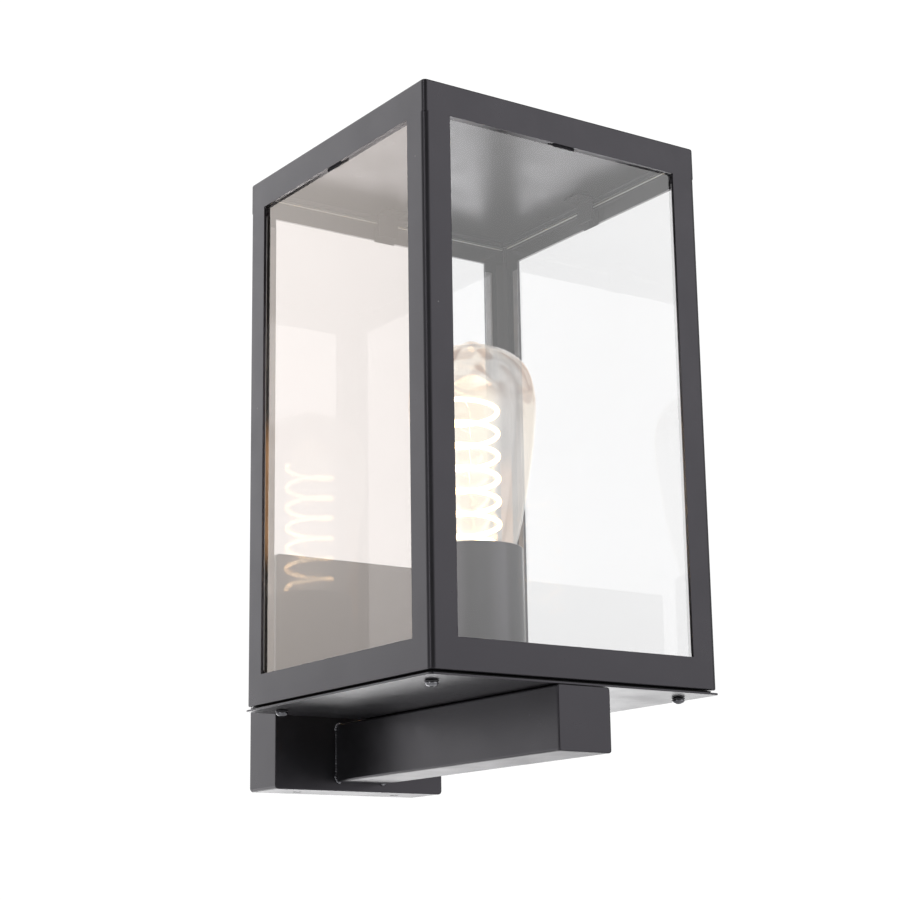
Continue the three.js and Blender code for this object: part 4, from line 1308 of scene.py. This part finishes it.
def helix_point(share):
    angle = math.radians(HELIX_START - share * HELIX_TURNS * 360)
    return Vector((HELIX_RADIUS * math.cos(angle), HELIX_RADIUS * math.sin(angle),
                   HELIX_LOW + share * HELIX_TURNS * HELIX_PITCH))


def bulb_filament():
    """Spiral filament and, as a piece of their own, the wires that lead to its ends and hold it."""
    steps = int(HELIX_TURNS * 40)
    helix = [helix_point(i / steps) for i in range(steps + 1)]
    add_piece("bulb_filament_spiral", sweep(helix, FILAMENT_RADIUS, 12, rounded=0.5), AT_HOOD, "bulb",
              "bulb_filament", FILAMENT, smooth=60)
    low_end, high_end = helix[0], helix[-1]
    wires = [
        sweep(smooth_line([(0.6, -3.2, 71), (1.1, -6, 72), (1.9, -10, 74.5), low_end]), LEAD_WIRE, 8),
        sweep(smooth_line([(-1.0, 0, 98.6), (-2.4, 0, 104), (-1.5, 0, 130), (-3, -0.5, 147),
                           (-8.5, -1.6, 150.5), high_end]), LEAD_WIRE, 8),
    ]
    for turn in (1.25, 3.25, 5.25):
        hold = helix_point(turn / HELIX_TURNS)
        inner = Vector((-1.6, 0, hold.z - 4))
        sagging = inner.lerp(hold, 0.5) + Vector((0, 0, -1))
        wires.append(sweep(smooth_line([inner, sagging, hold], 6), THIN_WIRE, 6))
    add_piece("bulb_lead_wires", joined(*wires), AT_HOOD, "bulb", None, NICKEL, smooth=60)


bulb_globe()
bulb_cap()
bulb_foot()
bulb_stem()
bulb_filament()

# CAD nodes that stay -------------------------------------------------------------------------


def keep_node(node, material, width):
    """A CAD node whose shape is right: better material and softened edges."""
    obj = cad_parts[node]
    obj.data.materials.clear()
    obj.data.materials.append(material)
    soften_edges(obj, width, 50)


keep_node("base_seal", FOAM, 0.15)
keep_node("earth_washer", ZINC, 0.1)
keep_node("earth_lug", BRASS, 0.1)
keep_node("centre_contact", BRASS, 0.1)

# ---------------------------------------------------------------------------------------------
# Studio
# ---------------------------------------------------------------------------------------------


# Brightness of the surroundings by compass direction, in degrees from +X towards +Y, and by height,
# which runs from -1 straight down to 1 straight up.
AROUND = [
    (0, 0.5), (25, 0.6), (45, 1.04), (90, 1.15), (112, 2.15), (121, 2.15), (130, 1.3), (148, 1.0),
    (164, 0.3), (188, 0.25), (195, 3.0), (201, 3.0), (208, 0.2), (268, 0.2), (288, 1.5), (314, 1.95),
    (330, 0.5), (360, 0.5),
]
BY_HEIGHT = [
    (-1.0, 0.9), (-0.3, 1.0), (-0.1, 0.7), (0.04, 0.7), (0.2, 1.0), (0.45, 1.0), (0.75, 0.6), (1.0, 0.5),
]
# A brighter stretch low down behind the lantern, which the faces that look down mirror.
LOW_AROUND = [(0, 0.2), (40, 0.3), (49, 0.9), (54, 2.35), (60, 3.4), (75, 2.6), (95, 0.2), (360, 0.2)]
LOW_BY_HEIGHT = [
    (-1.0, 0.2), (-0.5, 0.5), (-0.36, 1.05), (-0.14, 1.2), (-0.11, 1.0), (-0.085, 0.3), (-0.06, 0.0),
    (1.0, 0.0),
]
# The even backdrop.
BACKDROP_AROUND = [(0, 0.0), (26, 0.0), (36, 1.05), (78, 1.05), (88, 0.0), (360, 0.0)]
BACKDROP_BY_HEIGHT = [(-1.0, 0.0), (-0.01, 0.0), (0.0, 1.0), (1.0, 1.0)]
BRIGHTEST = 3.5


def add_world():
    """White surroundings with soft brighter and dimmer parts."""
    world = bpy.data.worlds.new("studio")
    bpy.context.scene.world = world
    world.use_nodes = True
    tree = world.node_tree
    tree.nodes.clear()
    out = tree.nodes.new("ShaderNodeOutputWorld")
    background = tree.nodes.new("ShaderNodeBackground")
    direction = tree.nodes.new("ShaderNodeTexCoord")
    split = tree.nodes.new("ShaderNodeSeparateXYZ")
    tree.links.new(direction.outputs["Generated"], split.inputs[0])

    def combine(operation, *values):
        made = tree.nodes.new("ShaderNodeMath")
        made.operation = operation
        for socket, value in zip(made.inputs, values):
            if isinstance(value, bpy.types.NodeSocket):
                tree.links.new(value, socket)
            else:
                socket.default_value = value
        return made.outputs[0]

    def curve(value, low, high, points):
        """A smooth curve through (value, brightness) points, as a colour ramp."""
        share = combine("DIVIDE", combine("SUBTRACT", value, low), high - low)
        ramp = tree.nodes.new("ShaderNodeValToRGB")
        ramp.color_ramp.interpolation = "EASE"
        tree.links.new(share, ramp.inputs[0])
        stops = ramp.color_ramp.elements
        while len(stops) < len(points):
            stops.new(0.5)
        for stop, (at, brightness) in zip(stops, points):
            stop.position = (at - low) / (high - low)
            stop.color = (*[brightness / BRIGHTEST] * 3, 1)
        return combine("MULTIPLY", ramp.outputs["Color"], BRIGHTEST)

    turn = combine("MULTIPLY", combine("ARCTAN2", split.outputs["Y"], split.outputs["X"]), 180 / math.pi)
    compass = combine("ADD", turn, combine("MULTIPLY", combine("LESS_THAN", turn, 0), 360))
    height = split.outputs["Z"]

    def brightness_by(around, by_height):
        return combine("MULTIPLY", curve(compass, 0, 360, around), curve(height, -1, 1, by_height))

    general, low = brightness_by(AROUND, BY_HEIGHT), brightness_by(LOW_AROUND, LOW_BY_HEIGHT)
    backdrop = brightness_by(BACKDROP_AROUND, BACKDROP_BY_HEIGHT)
    brightness = combine("MAXIMUM", combine("ADD", general, low), backdrop)
    background.inputs["Color"].default_value = (1, 1, 1, 1)
    tree.links.new(brightness, background.inputs["Strength"])
    tree.links.new(background.outputs[0], out.inputs["Surface"])


def add_softbox(name, place, target, size, power):
    """A square area light that looks at a target and isn't seen itself."""
    light = bpy.data.lights.new(name, "AREA")
    light.shape = "SQUARE"
    light.size = size
    light.energy = power
    lamp = bpy.data.objects.new(name, light)
    lamp.location = place
    lamp.rotation_euler = (Vector(target) - Vector(place)).to_track_quat("-Z", "Y").to_euler()
    lamp.visible_camera = False
    into_scene(lamp)


def add_bulb_light(power):
    """The light that the filament throws on what is round it."""
    light = bpy.data.lights.new("bulb_light", "POINT")
    light.energy = power
    light.color = (1.0, 0.76, 0.50)
    light.shadow_soft_size = 0.02
    lamp = bpy.data.objects.new("bulb_light", light)
    lamp.location = (0, HOOD_Y * MM, (HOOD_BOTTOM + HELIX_LOW + HELIX_TURNS * HELIX_PITCH / 2) * MM)
    lamp.visible_camera = False
    lamp.visible_glossy = False
    into_scene(lamp)


def add_floor():
    """A plain pale floor, well below the lantern."""
    s = Shader("pale_floor", Roughness=0.8)
    s.colour(s.blend(s.noise(3, detail=2), (0.84, 0.84, 0.84), (0.88, 0.88, 0.88)))
    bm = bmesh.new()
    bmesh.ops.create_grid(bm, x_segments=8, y_segments=8, size=1.5)
    mesh = bpy.data.meshes.new("floor")
    moved(bm, shift(0, 0, -0.9)).to_mesh(mesh)
    bm.free()
    mesh.materials.append(s.material)
    floor = into_scene(bpy.data.objects.new("floor", mesh))


HOOD_CENTRE = (0, HOOD_Y * MM, (HOOD_BOTTOM + HOOD_TOP / 2) * MM)

add_world()
add_softbox("fill", (1.6, 1.8, 1.2), HOOD_CENTRE, 1.6, 12)
add_bulb_light(0.1)
add_floor()
bpy.context.scene.view_settings.view_transform = "Standard"
